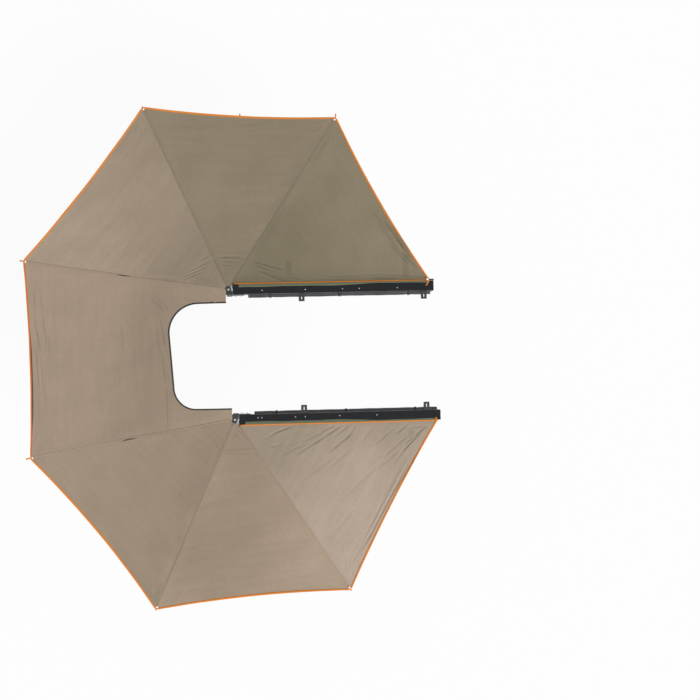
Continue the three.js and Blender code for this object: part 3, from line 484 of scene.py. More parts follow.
class FanPanel(Panel):
    """A panel between two arms, or between the rail and the front arm."""

    def __init__(self, fan, part, first, second, inner, bow, seed):
        self.fan, self.first, self.second = fan, first, second
        self.inner, self.bow = inner, bow
        self.seam_share = 0.0 if first == "rail" else 0.022
        if first == "rail":
            axis, body = fan.outboard, "root"
            anchor = fan.hub + np.array((0, fan.flange_edge - fan.hub[1] + fan.mirror * FOLD_CLEARANCE, 0))
        else:
            axis, body = fan.across(first), fan.arm_body(first)
            anchor = fan.hub + axis * (fan.flange_reach + FOLD_CLEARANCE + (ARMS.index(first) + 1) * FOLD_PITCH)
        start = 0.0 if first == "rail" else fan.angles[first]
        middle = (start + fan.angles[second]) / 2
        way = unit((fan.ahead * math.cos(middle) + fan.outboard * math.sin(middle))[:2])
        super().__init__(fan.side + "_" + part, seed, body, way, axis, anchor, FOLDED_SHARE,
                         fan.side + "_front_arm_hinge")
        self.arms = [(fan, arm) for arm in (first, second) if arm != "rail"]
        rng = np.random.default_rng(seed)
        corner = fan.hub + fan.direction(second) * REACH
        inwards = math.atan2(*(-fan.direction(second)[[1, 0]]))
        towards = math.atan2(*(-fan.across(second)[[1, 0]]))
        spread = (towards - inwards + math.pi) % (2 * math.pi) - math.pi
        self.families += pulled_creases(
            rng, corner[:2], (inwards + 0.12 * spread, inwards + 0.62 * spread), 0.06, 0.36, 6, 2.0)
        if first != "rail":
            corner = fan.hub + fan.direction(first) * REACH
            inwards = math.atan2(*(-fan.direction(first)[[1, 0]]))
            towards = math.atan2(*(fan.across(first)[[1, 0]]))
            spread = (towards - inwards + math.pi) % (2 * math.pi) - math.pi
            self.families += pulled_creases(
                rng, corner[:2], (inwards + 0.12 * spread, inwards + 0.62 * spread), 0.06, 0.36, 6, 2.0)

    def smooth_surface(self, across, outward):
        """The surface as the arms and the sag give it, from shares across the panel and outward."""
        fan = self.fan
        radius = mix(self.inner, REACH, outward)
        strip = strip_width(radius)
        if self.first == "rail":
            start, start_flat = fan.rail_line(outward), None
        else:
            start = fan.over_arm(self.first, radius, strip)
            start_flat = fan.over_arm(self.first, radius, mix(HALF_SEAM_GAP, strip, np.clip(
                across / self.seam_share, 0, 1)))
        end = fan.over_arm(self.second, radius, -strip)
        end_share = 0.022
        end_flat = fan.over_arm(self.second, radius, -mix(HALF_SEAM_GAP, strip, np.clip(
            (1 - across) / end_share, 0, 1)))
        between = np.clip((across - self.seam_share) / (1 - self.seam_share - end_share), 0, 1)
        crown = 4 * between * (1 - between)
        chord = unit((end - start)[..., :2])
        inwards = np.stack((-chord[..., 1], chord[..., 0]), axis=-1)
        away = (fan.hub - (fan.hub + fan.direction(self.second)))[:2]
        inwards *= np.sign(inwards @ away)[..., None]
        points = mix(start, end, between)
        points[..., :2] += inwards * (self.bow * crown * outward ** 2)[..., None]
        points[..., 2] -= settings().panel_sag * crown * outward
        if start_flat is not None:
            points = np.where((across < self.seam_share)[..., None], start_flat, points)
        return np.where((across > 1 - end_share)[..., None], end_flat, points)

    def freedom(self, points):
        """The cloth is held in the rail's groove."""
        if self.first != "rail":
            return np.ones(points.shape[:-1])
        off = np.abs(points[..., 1] - self.fan.flange_edge)
        return smoothstep(off, 0.002, 0.05)

    def surface(self, across, outward):
        """The creased surface."""
        return self.lift(self.smooth_surface(np.asarray(across, float), np.asarray(outward, float)))


class BackPanel(Panel):
    """The one piece of cloth from rear arm to rear arm, with the cut-out open to the front."""

    COLUMNS_SHARE = 0.05

    def __init__(self, fans, insets, corners, seed):
        left = fans["left"]
        axis = left.across("rear")
        super().__init__("back", seed, left.arm_body("rear"), (-1.0, 0.0), axis,
                         left.hub + axis * (left.flange_reach + FOLD_CLEARANCE + 3 * FOLD_PITCH), 0.012,
                         "left_front_arm_hinge")
        self.fans, self.insets, self.corners = fans, insets, corners
        self.arms = [(fan, "rear") for fan in fans.values()]
        rng = np.random.default_rng(seed)
        for fan in fans.values():
            corner = fan.hub + fan.direction("rear") * REACH
            inwards = math.atan2(*(-fan.direction("rear")[[1, 0]]))
            towards = math.atan2(*(fan.across("rear")[[1, 0]]))
            spread = (towards - inwards + math.pi) % (2 * math.pi) - math.pi
            self.families += pulled_creases(
                rng, corner[:2], (inwards + 0.12 * spread, inwards + 0.65 * spread), 0.06, 0.38, 7, 2.2)

    def cutout_share(self):
        """How far out along the rear arms the cut-out's rear edge lies."""
        angle = self.fans["left"].angles["rear"]
        return (CUTOUT_DEPTH / -math.cos(angle) - HUB_HOLE) / (REACH - HUB_HOLE)

    def strip(self, side, across, outward):
        """Beside the cut-out: across from the seam to the cut-out's edge, outward from the hub to its end."""
        fan, inset, corner = self.fans[side], self.insets[side], self.corners[side]
        angle = fan.angles["rear"]
        straight = 0.55
        last = HUB_HOLE + (REACH - HUB_HOLE) * self.cutout_share()
        turn = np.clip((outward - straight) / (1 - straight), 0, 1) * math.pi / 2
        level = (corner - CUTOUT_DEPTH) - corner * np.sin(turn)
        round_radius = (level + ARM_STRIP * math.sin(angle)) / math.cos(angle)
        straight_end = (corner - CUTOUT_DEPTH + ARM_STRIP * math.sin(angle)) / math.cos(angle)
        radius = np.where(outward > straight, round_radius,
                          mix(HUB_HOLE, straight_end, np.clip(outward / straight, 0, 1)))
        last = (-CUTOUT_DEPTH + ARM_STRIP * math.sin(angle)) / math.cos(angle)
        radius = np.minimum(radius, last)
        width = strip_width(radius)
        ahead = radius * math.cos(angle) - width * math.sin(angle)
        outboard = radius * math.sin(angle) + width * math.cos(angle)
        edge = -(inset + corner * (1 - np.cos(turn)))
        share = np.clip((across - self.COLUMNS_SHARE) / (1 - self.COLUMNS_SHARE), 0, 1)
        points = fan.behind(ahead, mix(outboard, edge, share))
        flat = fan.over_arm("rear", radius, mix(HALF_SEAM_GAP, width, np.clip(across / self.COLUMNS_SHARE, 0, 1)))
        return np.where((across < self.COLUMNS_SHARE)[..., None], flat, points)

    def rear_line(self, across):
        """The line from seam to seam through the cut-out's rear edge. Across runs 0 to 1 beside the cut-out on
        the left, 1 to 2 behind it and 2 to 3 beside it on the right."""
        one = np.ones_like(across)
        left = self.strip("left", np.clip(across, 0, 1), one)
        right = self.strip("right", np.clip(3 - across, 0, 1), one)
        middle = mix(self.strip("left", one, one), self.strip("right", one, one), np.clip(across - 1, 0, 1))
        points = np.where((across > 1)[..., None], middle, left)
        return np.where((across > 2)[..., None], right, points)

    def main(self, across, outward):
        """Behind the cut-out, with across as in rear_line."""
        first = self.rear_line(across)
        ends = {}
        for side, far in (("left", outward), ("right", outward), ("left0", 0 * outward), ("right0", 0 * outward)):
            fan = self.fans[side.rstrip("0")]
            start = (CUTOUT_DEPTH - ARM_STRIP * math.sin(fan.angles["rear"])) / -math.cos(fan.angles["rear"])
            radius = mix(start, REACH, far)
            share = across if side.startswith("left") else 3 - across
            inner = fan.over_arm("rear", radius, strip_width(radius))
            flat = fan.over_arm("rear", radius, mix(HALF_SEAM_GAP, strip_width(radius), np.clip(
                share / self.COLUMNS_SHARE, 0, 1)))
            ends[side] = (inner, flat)
        span = ends["right0"][0] - ends["left0"][0]
        between = np.clip(np.sum((first - ends["left0"][0]) * span, axis=-1) / np.sum(span * span, axis=-1), 0, 1)
        crown = 4 * between * (1 - between)
        sizes = settings()
        points = mix(ends["left"][0], ends["right"][0], between)
        points[..., 0] += sizes.back_bow * crown * outward ** 2
        sag = mix(sizes.back_sag, sizes.back_edge_sag, outward)
        points[..., 2] -= sag * crown * smoothstep(outward, 0, 0.45)
        settled = (1 - smoothstep(outward, 0, 0.3))[..., None]
        points += (first - mix(ends["left0"][0], ends["right0"][0], between)) * settled
        points = np.where((across < self.COLUMNS_SHARE)[..., None], ends["left"][1], points)
        return np.where((across > 3 - self.COLUMNS_SHARE)[..., None], ends["right"][1], points)


# Meshes

def link(name, mesh, material, smooth=True):
    """A new object at the origin that holds the mesh, with one material."""
    mesh.name = name
    if smooth:
        mesh.shade_smooth()
        mesh.set_sharp_from_angle(angle=math.radians(32))
    mesh.materials.clear()
    mesh.materials.append(material)
    piece = bpy.data.objects.new(name, mesh)
    bpy.context.scene.collection.objects.link(piece)
    return piece


def grid_mesh(columns, rows, place, upright=True):
    """A mesh of a grid whose points come from place(across, outward), both from 0 to 1."""
    shape = bmesh.new()
    bmesh.ops.create_grid(shape, x_segments=columns, y_segments=rows, size=0.5)
    mesh = bpy.data.meshes.new("grid")
    shape.to_mesh(mesh)
    shape.free()
    shares = np.zeros(len(mesh.vertices) * 3, np.float32)
    mesh.vertices.foreach_get("co", shares)
    shares = shares.reshape(-1, 3)[:, :2].astype(float) + 0.5
    shares = np.clip(shares, 0, 1)
    points = place(shares[:, 0], shares[:, 1])
    mesh.vertices.foreach_set("co", points.astype(np.float32).ravel())
    mesh.update()
    if upright:
        normals = np.zeros(len(mesh.polygons) * 3, np.float32)
        mesh.polygons.foreach_get("normal", normals)
        if normals.reshape(-1, 3)[:, 2].mean() < 0:
            mesh.flip_normals()
    return mesh


def set_uv(mesh, coordinates):
    """Gives a mesh a UV map from one pair of coordinates per vertex."""
    loops = np.zeros(len(mesh.loops), np.int32)
    mesh.loops.foreach_get("vertex_index", loops)
    layer = mesh.uv_layers.new(name="UVMap")
    layer.data.foreach_set("uv", coordinates[loops].astype(np.float32).ravel())


def vertices_of(mesh):
    """A mesh's points as an array."""
    points = np.zeros(len(mesh.vertices) * 3, np.float32)
    mesh.vertices.foreach_get("co", points)
    return points.reshape(-1, 3).astype(float)


def joined(meshes, weld=0.0):
    """Several meshes as one. Points closer than weld become one."""
    shape = bmesh.new()
    for mesh in meshes:
        shape.from_mesh(mesh)
        bpy.data.meshes.remove(mesh)
    if weld:
        bmesh.ops.remove_doubles(shape, verts=shape.verts, dist=weld)
    made = bpy.data.meshes.new("joined")
    shape.to_mesh(made)
    shape.free()
    return made


def mesh_of(shape):
    """A mesh from a bmesh, which is freed."""
    made = bpy.data.meshes.new("made")
    shape.to_mesh(made)
    shape.free()
    return made


def thicken(piece, thickness, offset=0.0):
    """Gives a sheet its thickness: offset -1 puts it below the sheet and 0 half on each side."""
    wall = piece.modifiers.new("thickness", "SOLIDIFY")
    wall.thickness = thickness
    wall.offset = offset
    wall.use_even_offset = False
    return piece


def area_of(mesh):
    """The area of a mesh's faces."""
    areas = np.zeros(len(mesh.polygons), np.float32)
    mesh.polygons.foreach_get("area", areas)
    return float(areas.sum())


def turned(profile, segments=28):
    """A bmesh turned about z from points (radius, height)."""
    shape = bmesh.new()
    points = [shape.verts.new((radius, 0, height)) for radius, height in profile]
    edges = [shape.edges.new(pair) for pair in zip(points, points[1:])]
    bmesh.ops.spin(shape, geom=points + edges, cent=(0, 0, 0), axis=(0, 0, 1), angle=2 * math.pi,
                   steps=segments, use_merge=True)
    bmesh.ops.remove_doubles(shape, verts=shape.verts, dist=0.01 * MM)
    bmesh.ops.recalc_face_normals(shape, faces=shape.faces)
    return shape


def block(size, bevel):
    """A bmesh box with rounded edges, centred on the origin."""
    shape = bmesh.new()
    bmesh.ops.create_cube(shape, size=1)
    bmesh.ops.scale(shape, vec=size, verts=shape.verts)
    bmesh.ops.bevel(shape, geom=shape.edges, offset=bevel, affect="EDGES", segments=3, profile=0.5, material=-1)
    return shape


def hexagon_head(across, height):
    """A bmesh of a hexagon head with its top corners chamfered."""
    shape = bmesh.new()
    bmesh.ops.create_cone(shape, cap_ends=True, segments=6, radius1=across / math.sqrt(3),
                          radius2=across / math.sqrt(3), depth=height)
    top = [edge for edge in shape.edges if all(vert.co.z > 0 for vert in edge.verts)]
    bmesh.ops.bevel(shape, geom=top, offset=0.12 * height, affect="EDGES", segments=2, profile=0.5, material=-1)
    bmesh.ops.translate(shape, vec=(0, 0, height / 2), verts=shape.verts)
    return shape


def placed(shape, matrix):
    """A mesh from a bmesh moved by a matrix."""
    bmesh.ops.transform(shape, matrix=matrix, verts=shape.verts)
    return mesh_of(shape)


def facing(origin, axis, along=(1, 0, 0)):
    """A matrix at a point with its z along an axis and its x near another way."""
    z = Vector(axis).normalized()
    x = (Vector(along) - z * Vector(along).dot(z)).normalized()
    y = z.cross(x)
    turn = Matrix((x, y, z)).transposed().to_4x4()
    return Matrix.Translation(Vector(origin)) @ turn


# Materials

def add_node(tree, kind, inputs=None, **options):
    """Adds a node with its options, its values and its links."""
    made = tree.nodes.new(kind)
    for name, value in options.items():
        setattr(made, name, value)
    for key, value in (inputs or {}).items():
        if isinstance(value, bpy.types.NodeSocket):
            tree.links.new(value, made.inputs[key])
        else:
            made.inputs[key].default_value = value
    return made


def start_material(name, **values):
    """A material with a Principled BSDF, whose constant values go straight on its sockets."""
    material = bpy.data.materials.new(name)
    material.use_nodes = True
    tree = material.node_tree
    shader = tree.nodes["Principled BSDF"]
    for key, value in values.items():
        shader.inputs[key.replace("_", " ")].default_value = value
    return material, tree, shader


def rgba(values):
    """A colour with full alpha."""
    return (*values[:3], 1.0)


def scaled(values, factor):
    """A colour made lighter or darker."""
    return rgba([min(1.0, value * factor) for value in values])


def blended(tree, factor, first, second, blend="MIX"):
    """The output of a colour mix."""
    return add_node(tree, "ShaderNodeMix", {0: factor, 6: first, 7: second}, data_type="RGBA",
                    blend_type=blend).outputs[2]


def calculated(tree, operation, first, second):
    """The output of a sum on two values."""
    return add_node(tree, "ShaderNodeMath", {0: first, 1: second}, operation=operation).outputs[0]


# A wave texture of scale 1 repeats after this length in metres
WAVE = math.pi / 10


def canvas_material(name, base, warp_turn, seam=None):
    """Coated polyester-cotton canvas: matt, with a fine even weave, slubs along the warp and soft mottling
    where the coating has aged. A seam is the place across the piece, the strength of its dark line and how
    far its two rows of stitches lie from the line."""
    material, tree, shader = start_material(
        name, Roughness=0.86, IOR=1.45, Sheen_Weight=0.12, Sheen_Roughness=0.5)
    uv = add_node(tree, "ShaderNodeUVMap", uv_map="UVMap").outputs[0]
    turned_uv = add_node(tree, "ShaderNodeMapping", {"Vector": uv, "Rotation": (0, 0, warp_turn)}).outputs[0]
    mottle = add_node(tree, "ShaderNodeTexNoise", {"Vector": uv, "Scale": 1 / 0.33, "Detail": 3.0})
    clouds = add_node(tree, "ShaderNodeTexNoise", {"Vector": uv, "Scale": 1 / 0.055, "Detail": 2.0})
    along = add_node(tree, "ShaderNodeMapping", {"Vector": turned_uv, "Scale": (1 / 0.012, 1 / 0.5, 1)})
    slubs = add_node(tree, "ShaderNodeTexNoise", {"Vector": along.outputs[0], "Scale": 1.0, "Detail": 3.0})
    across = add_node(tree, "ShaderNodeMapping", {"Vector": turned_uv, "Scale": (1 / 0.7, 1 / 0.05, 1)})
    bars = add_node(tree, "ShaderNodeTexNoise", {"Vector": across.outputs[0], "Scale": 1.0, "Detail": 2.0})
    tone = blended(tree, mottle.outputs[0], scaled(base, 0.92), scaled(base, 1.32))
    tone = blended(tree, 0.24, tone, blended(tree, slubs.outputs[0], scaled(base, 0.80), scaled(base, 1.44)))
    tone = blended(tree, 0.24, tone, blended(tree, bars.outputs[0], scaled(base, 0.74), scaled(base, 1.50)))
    tone = blended(tree, 0.20, tone, blended(tree, clouds.outputs[0], scaled(base, 0.84), scaled(base, 1.40)))
    # The shade attribute darkens the canvas towards depth: painted shade along creases and rails, painted shadows of
    # straps under the cloth, the panels' tones and the doubled cloth.
    shade = add_node(tree, "ShaderNodeAttribute", attribute_name="shade").outputs["Fac"]
    depth = (0.64, 0.648, 0.615)
    dark = blended(tree, 1.0, tone, rgba(depth), "MULTIPLY")
    tone = blended(tree, shade, tone, dark)
    # The threads are 0.6 mm apart in the real cloth, and drawn at 2 mm, which a close view can show
    thread = 2.0 * MM
    weave = add_node(tree, "ShaderNodeTexWave", {"Vector": turned_uv, "Scale": WAVE / thread,
                                                 "Distortion": 0.5, "Detail": 1.0}, bands_direction="X")
    weft = add_node(tree, "ShaderNodeTexWave", {"Vector": turned_uv, "Scale": WAVE / thread,
                                                "Distortion": 0.5, "Detail": 1.0}, bands_direction="Y")
    cloth = calculated(tree, "MULTIPLY", weave.outputs["Fac"], weft.outputs["Fac"])
    tone = blended(tree, cloth, blended(tree, 1.0, tone, (0.95, 0.95, 0.95, 1), "MULTIPLY"),
                   blended(tree, 1.0, tone, (1.13, 1.13, 1.13, 1), "MULTIPLY"))
    if seam is not None:
        middle, strength, rows = seam
        split = add_node(tree, "ShaderNodeSeparateXYZ", {0: uv})
        off = calculated(tree, "ABSOLUTE", calculated(tree, "SUBTRACT", split.outputs[1], middle), 0.0)
        line = add_node(tree, "ShaderNodeMapRange", {0: off, 1: 0.8 * MM, 2: 3.4 * MM, 3: strength, 4: 0.0})
        near = calculated(tree, "LESS_THAN", calculated(
            tree, "ABSOLUTE", calculated(tree, "SUBTRACT", off, rows), 0.0), 0.6 * MM)
        dash = calculated(tree, "LESS_THAN", calculated(tree, "FRACT", calculated(
            tree, "DIVIDE", split.outputs[0], 4.5 * MM), 0.0), 0.62)
        stitched = calculated(tree, "MULTIPLY", calculated(tree, "MULTIPLY", near, dash), 0.30)
        tone = blended(tree, calculated(tree, "MAXIMUM", line.outputs[0], stitched), tone, scaled(base, 0.34))
    tree.links.new(tone, shader.inputs["Base Color"])
    crumple = add_node(tree, "ShaderNodeTexNoise", {"Vector": uv, "Scale": 1 / 0.018, "Detail": 4.0})
    rough = add_node(tree, "ShaderNodeBump", {"Height": crumple.outputs[0], "Distance": 0.6 * MM, "Strength": 0.4})
    bump = add_node(tree, "ShaderNodeBump", {"Height": cloth, "Distance": 0.3 * MM, "Strength": 0.5,
                                             "Normal": rough.outputs[0]})
    tree.links.new(bump.outputs[0], shader.inputs["Normal"])
    return material


def webbing_material(name, base, rib=3.0 * MM, stitch=None):
    """Woven polyester tape: ribs across it, a slight lustre and a row of stitches along each edge."""
    material, tree, shader = start_material(
        name, Roughness=0.66, IOR=1.45, Sheen_Weight=0.10, Sheen_Roughness=0.4)
    uv = add_node(tree, "ShaderNodeUVMap", uv_map="UVMap").outputs[0]
    split = add_node(tree, "ShaderNodeSeparateXYZ", {0: uv})
    ribs = add_node(tree, "ShaderNodeTexWave", {"Vector": uv, "Scale": WAVE / rib, "Distortion": 0.4},
                    bands_direction="X")
    worn = add_node(tree, "ShaderNodeTexNoise", {"Vector": uv, "Scale": 1 / 0.09, "Detail": 3.0})
    tone = blended(tree, worn.outputs[0], scaled(base, 0.84), scaled(base, 1.16))
    tone = blended(tree, 0.22, tone, blended(tree, ribs.outputs["Fac"], scaled(base, 0.62), scaled(base, 1.2)))
    if stitch is not None:
        # Stitches 4 mm long every 6 mm, in one row 3 mm inside the edge
        off = calculated(tree, "ABSOLUTE", calculated(tree, "SUBTRACT", split.outputs[1], stitch), 0.0)
        row = calculated(tree, "LESS_THAN", off, 0.7 * MM)
        dash = calculated(tree, "LESS_THAN", calculated(tree, "FRACT", calculated(
            tree, "DIVIDE", split.outputs[0], 6 * MM), 0.0), 0.66)
        tone = blended(tree, calculated(tree, "MULTIPLY", row, dash), tone, scaled(base, 0.45))
    tree.links.new(tone, shader.inputs["Base Color"])
    bump = add_node(tree, "ShaderNodeBump", {"Height": ribs.outputs["Fac"], "Distance": 0.3 * MM, "Strength": 0.5})
    tree.links.new(bump.outputs[0], shader.inputs["Normal"])
    return material


def metal_material(name, base, roughness, metallic, turn=0.0, grain=0.0, speckle=0.0, **values):
    """Metal or a coating on metal: streaks along the draw or the brush, or the fine orange peel of powder."""
    material, tree, shader = start_material(name, Metallic=metallic, **values)
    place = add_node(tree, "ShaderNodeTexCoord").outputs["Object"]
    lined = add_node(tree, "ShaderNodeMapping", {"Vector": place, "Rotation": (0, 0, -turn)}).outputs[0]
    streaked = add_node(tree, "ShaderNodeMapping", {"Vector": lined, "Scale": (1 / 0.6, 1 / 0.0012, 1 / 0.0012)})
    streaks = add_node(tree, "ShaderNodeTexNoise", {"Vector": streaked.outputs[0], "Scale": 1.0, "Detail": 2.0})
    worn = add_node(tree, "ShaderNodeTexNoise", {"Vector": place, "Scale": 1 / 0.05, "Detail": 5.0})
    fine = add_node(tree, "ShaderNodeTexNoise", {"Vector": place, "Scale": 1 / 0.0016, "Detail": 2.0})
    tone = blended(tree, worn.outputs[0], scaled(base, 0.88), scaled(base, 1.12))
    tone = blended(tree, grain, tone, blended(tree, streaks.outputs[0], scaled(base, 0.7), scaled(base, 1.3)))
    tree.links.new(tone, shader.inputs["Base Color"])
    gloss = add_node(tree, "ShaderNodeMapRange", {0: worn.outputs[0], 1: 0.3, 2: 0.7, 3: roughness * 0.85,
                                                  4: min(1.0, roughness * 1.2)})
    tree.links.new(gloss.outputs[0], shader.inputs["Roughness"])
    height = calculated(tree, "ADD", calculated(tree, "MULTIPLY", streaks.outputs[0], grain),
                        calculated(tree, "MULTIPLY", fine.outputs[0], speckle))
    bump = add_node(tree, "ShaderNodeBump", {"Height": height, "Distance": 0.12 * MM, "Strength": 0.35})
    tree.links.new(bump.outputs[0], shader.inputs["Normal"])
    return material


def moulded_material(name, base, roughness, pore, depth, **values):
    """Moulded nylon, rubber or coated cloth: a pebbled skin with slightly scuffed highs."""
    material, tree, shader = start_material(name, Roughness=roughness, **values)
    place = add_node(tree, "ShaderNodeTexCoord").outputs["Object"]
    pebble = add_node(tree, "ShaderNodeTexVoronoi", {"Vector": place, "Scale": 1 / pore})
    scuffed = add_node(tree, "ShaderNodeTexNoise", {"Vector": place, "Scale": 1 / 0.03, "Detail": 6.0})
    tone = blended(tree, scuffed.outputs[0], scaled(base, 0.8), scaled(base, 1.35))
    tree.links.new(tone, shader.inputs["Base Color"])
    bump = add_node(tree, "ShaderNodeBump", {"Height": pebble.outputs["Distance"], "Distance": depth,
                                             "Strength": 0.4})
    tree.links.new(bump.outputs[0], shader.inputs["Normal"])
    return material


MATERIALS = {}


def material_named(key):
    """A finish by its key, made the first time it is asked for."""
    if key in MATERIALS:
        return MATERIALS[key]
    cloth, metal = bpy.context.scene.awning_colours, bpy.context.scene.awning_metals
    makers = {
        "orange_webbing": lambda: webbing_material("orange_polyester_webbing", cloth.orange, stitch=4 * MM),
        "worn_webbing": lambda: webbing_material("worn_orange_webbing", cloth.worn_orange, stitch=4 * MM),
        "dark_webbing": lambda: webbing_material("dark_polyester_webbing", cloth.dark, stitch=4 * MM),
        "olive_canvas": lambda: canvas_material("olive_canvas", cloth.olive, 0.0),
        "black_anodised": lambda: metal_material(
            "black_anodised_extrusion", metal.anodised, 0.42, 0.85, grain=0.35),
        "black_steel": lambda: metal_material(
            "powder_coated_steel", metal.powder, 0.55, 0.0, speckle=1.0, Coat_Weight=0.15, IOR=1.5),
        "zinc_steel": lambda: metal_material("zinc_plated_steel", metal.zinc, 0.34, 1.0, grain=0.1, speckle=0.3),
        "nickel": lambda: metal_material("nickel_plated_brass", metal.nickel, 0.22, 0.85, speckle=0.1),
        "black_nylon": lambda: moulded_material(
            "glass_filled_nylon", metal.nylon, 0.58, 1.4 * MM, 0.1 * MM, IOR=1.53),
        "black_rubber": lambda: moulded_material(
            "moulded_epdm_rubber", metal.rubber, 0.82, 1.0 * MM, 0.08 * MM, IOR=1.5),
        "cover_vinyl": lambda: moulded_material(
            "pvc_coated_polyester", metal.vinyl, 0.5, 2.2 * MM, 0.2 * MM, IOR=1.52, Coat_Weight=0.2),
    }
    for fan in FANS.values():
        for arm in ARMS:
            makers["aluminium_" + fan.side + "_" + arm] = lambda fan=fan, arm=arm: metal_material(
                "satin_aluminium_" + fan.side + "_" + arm, metal.aluminium, 0.36, 1.0,
                turn=fan.mirror * fan.angles[arm], grain=0.5)
    MATERIALS[key] = makers[key]()
    return MATERIALS[key]


# The awning's layout

FANS = {side: Fan(side) for side in SIDES}
PANELS = {}


def make_panels():
    """The seven panels' surfaces."""
    bows = {"left": (38, 31, 24), "right": (24, 31, 40)}
    for offset, (side, fan) in enumerate(FANS.items()):
        rows = [("front", "rail", "front", FRONT_ARM_HOLE), ("side", "front", "middle", FRONT_ARM_HOLE),
                ("rear", "middle", "rear", HUB_HOLE)]
        for index, ((part, first, second, inner), bow) in enumerate(zip(rows, bows[side])):
            if part == "front":
                inner = FRONT_ARM_HOLE
            PANELS[side + "_" + part] = FanPanel(
                fan, part, first, second, inner if part != "side" else HUB_HOLE, bow * MM, 10 * offset + index)
    PANELS["back"] = BackPanel(FANS, {"left": 0.138, "right": 0.117}, {"left": 0.290, "right": 0.220}, 31)


def panel_area_and_size(mesh, direction):
    """A smooth panel's area, and its extent along and across a direction in the plane."""
    points = vertices_of(mesh)[:, :2]
    along = points @ direction
    across = points @ np.array((-direction[1], direction[0]))
    return area_of(mesh), (float(np.ptp(across)), float(np.ptp(along)))


def cloth_shade(panel, points):
    """How dark the canvas is at each point: its tones, painted shade along its creases and rails, painted shadows of
    straps under it, and what is sewn on it.
    """
    flat = points[:, :2]
    shade = np.full(len(points), PLAIN_SHADE)
    for place, reach, amount in TONES.get(panel.name, []):
        shade += amount * np.exp(-np.sum((flat - place) ** 2, axis=1) / reach ** 2)
    # Painted shade along the creases
    for crease in CREASES.get(panel.name, []):
        shade += crease_shade(flat, *crease)
    for fan, arm in panel.arms:
        off = np.abs((points - fan.hub) @ fan.across(arm))
        shade += 0.04 * (1 - smoothstep(off, 0.006, 0.024))
        hub_off = np.linalg.norm(points - fan.hub, axis=1)
        shade += 0.08 * (1 - smoothstep(hub_off, 0.1, 0.9))
    if isinstance(panel, FanPanel) and panel.first == "rail":
        # Painted shade on the cloth beside the rail
        amount, reach = RAIL_SHADE[panel.fan.side]
        off = np.abs(points[:, 1] - panel.fan.flange_edge)
        shade += amount * np.exp(-(off / reach) ** 2)
        # A band of painted shade along the rail's front part, strong on the left
        hem = (1 - smoothstep(off, 0.034, 0.058)) * smoothstep(points[:, 0], 0.95, 1.25)
        shade += 0.46 * hem * (1 if panel.fan.side == "left" else 0.2)
    elif isinstance(panel, FanPanel):
        span = panel.fan.angles[panel.second] - panel.fan.angles[panel.first]
        along = (flat - panel.fan.hub[:2]) @ panel.way
        edge = settings().hub_patch * math.cos(span / 2)
        shade += (0.16 if panel.fan.side == "left" else 0.06) * (1 - smoothstep(along, edge - 0.006, edge + 0.006))
    # Painted shadows of the straps under the cloth, seen through it
    for centre, half_x, half_y in STRAP_SHADOWS.get(panel.name, []):
        edge = np.maximum(np.abs(points[:, 0] - centre[0]) / half_x, np.abs(points[:, 1] - centre[1]) / half_y)
        shade += 0.34 * (1 - smoothstep(edge, 0.85, 1.1))
    return np.clip(shade, 0, 1)


def finish_panel(panel, mesh, smooth_mesh, direction, base):
    """The panel's object: UV in metres along its middle line, shade, thickness and the body it rides on. It hides the
    CAD panel and measures the smooth panel's area and size.
    """
    points = vertices_of(mesh)
    across = np.array((-direction[1], direction[0]))
    set_uv(mesh, np.stack((points[:, :2] @ across, points[:, :2] @ direction), axis=-1))
    attribute = mesh.attributes.new("shade", "FLOAT", "POINT")
    attribute.data.foreach_set("value", cloth_shade(panel, points).astype(np.float32))
    name = panel.name + "_canvas"
    piece = link(name, mesh, canvas_material(name, base, 0.0))
    thicken(piece, settings().thickness, -1.0)
    panel.follow(piece)
    node = panel.name + "_panel"
    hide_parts(node)
    area, flat = panel_area_and_size(smooth_mesh, direction)
    bpy.data.meshes.remove(smooth_mesh)
    return piece


class AWNING_OT_canopy(bpy.types.Operator):
    """Adds the seven panels of canvas"""
    bl_idname = "awning.canopy"
    bl_label = "Canopy"

    def execute(self, context):
        colours = context.scene.awning_colours
        rows, columns = settings().rows, settings().columns
        coarse = 4
        for name, panel in PANELS.items():
            if name == "back":
                continue
            mesh = grid_mesh(columns, rows, panel.surface)
            smooth = grid_mesh(columns // coarse, rows // coarse, panel.smooth_surface)
            finish_panel(panel, mesh, smooth, panel.way, getattr(colours, name))
        back = PANELS["back"]
        parts = []
        for detail, shape in ((1, back.lift), (coarse, lambda points: points)):
            pieces = []
            strip_rows, side_columns, middle_columns = 80 // detail, 56 // detail, 84 // detail
            outer_rows = 188 // detail
            for side in SIDES:
                pieces.append(grid_mesh(side_columns, strip_rows, lambda a, o, side=side: shape(
                    back.strip(side, a, o))))
            for start, count in ((0, side_columns), (1, middle_columns), (2, side_columns)):
                pieces.append(grid_mesh(count, outer_rows, lambda a, o, start=start: shape(
                    back.main(a + start, o))))
            parts.append(joined(pieces, 0.05 * MM))
        finish_panel(back, parts[0], parts[1], back.way, colours.back)
        return {"FINISHED"}


# Trim

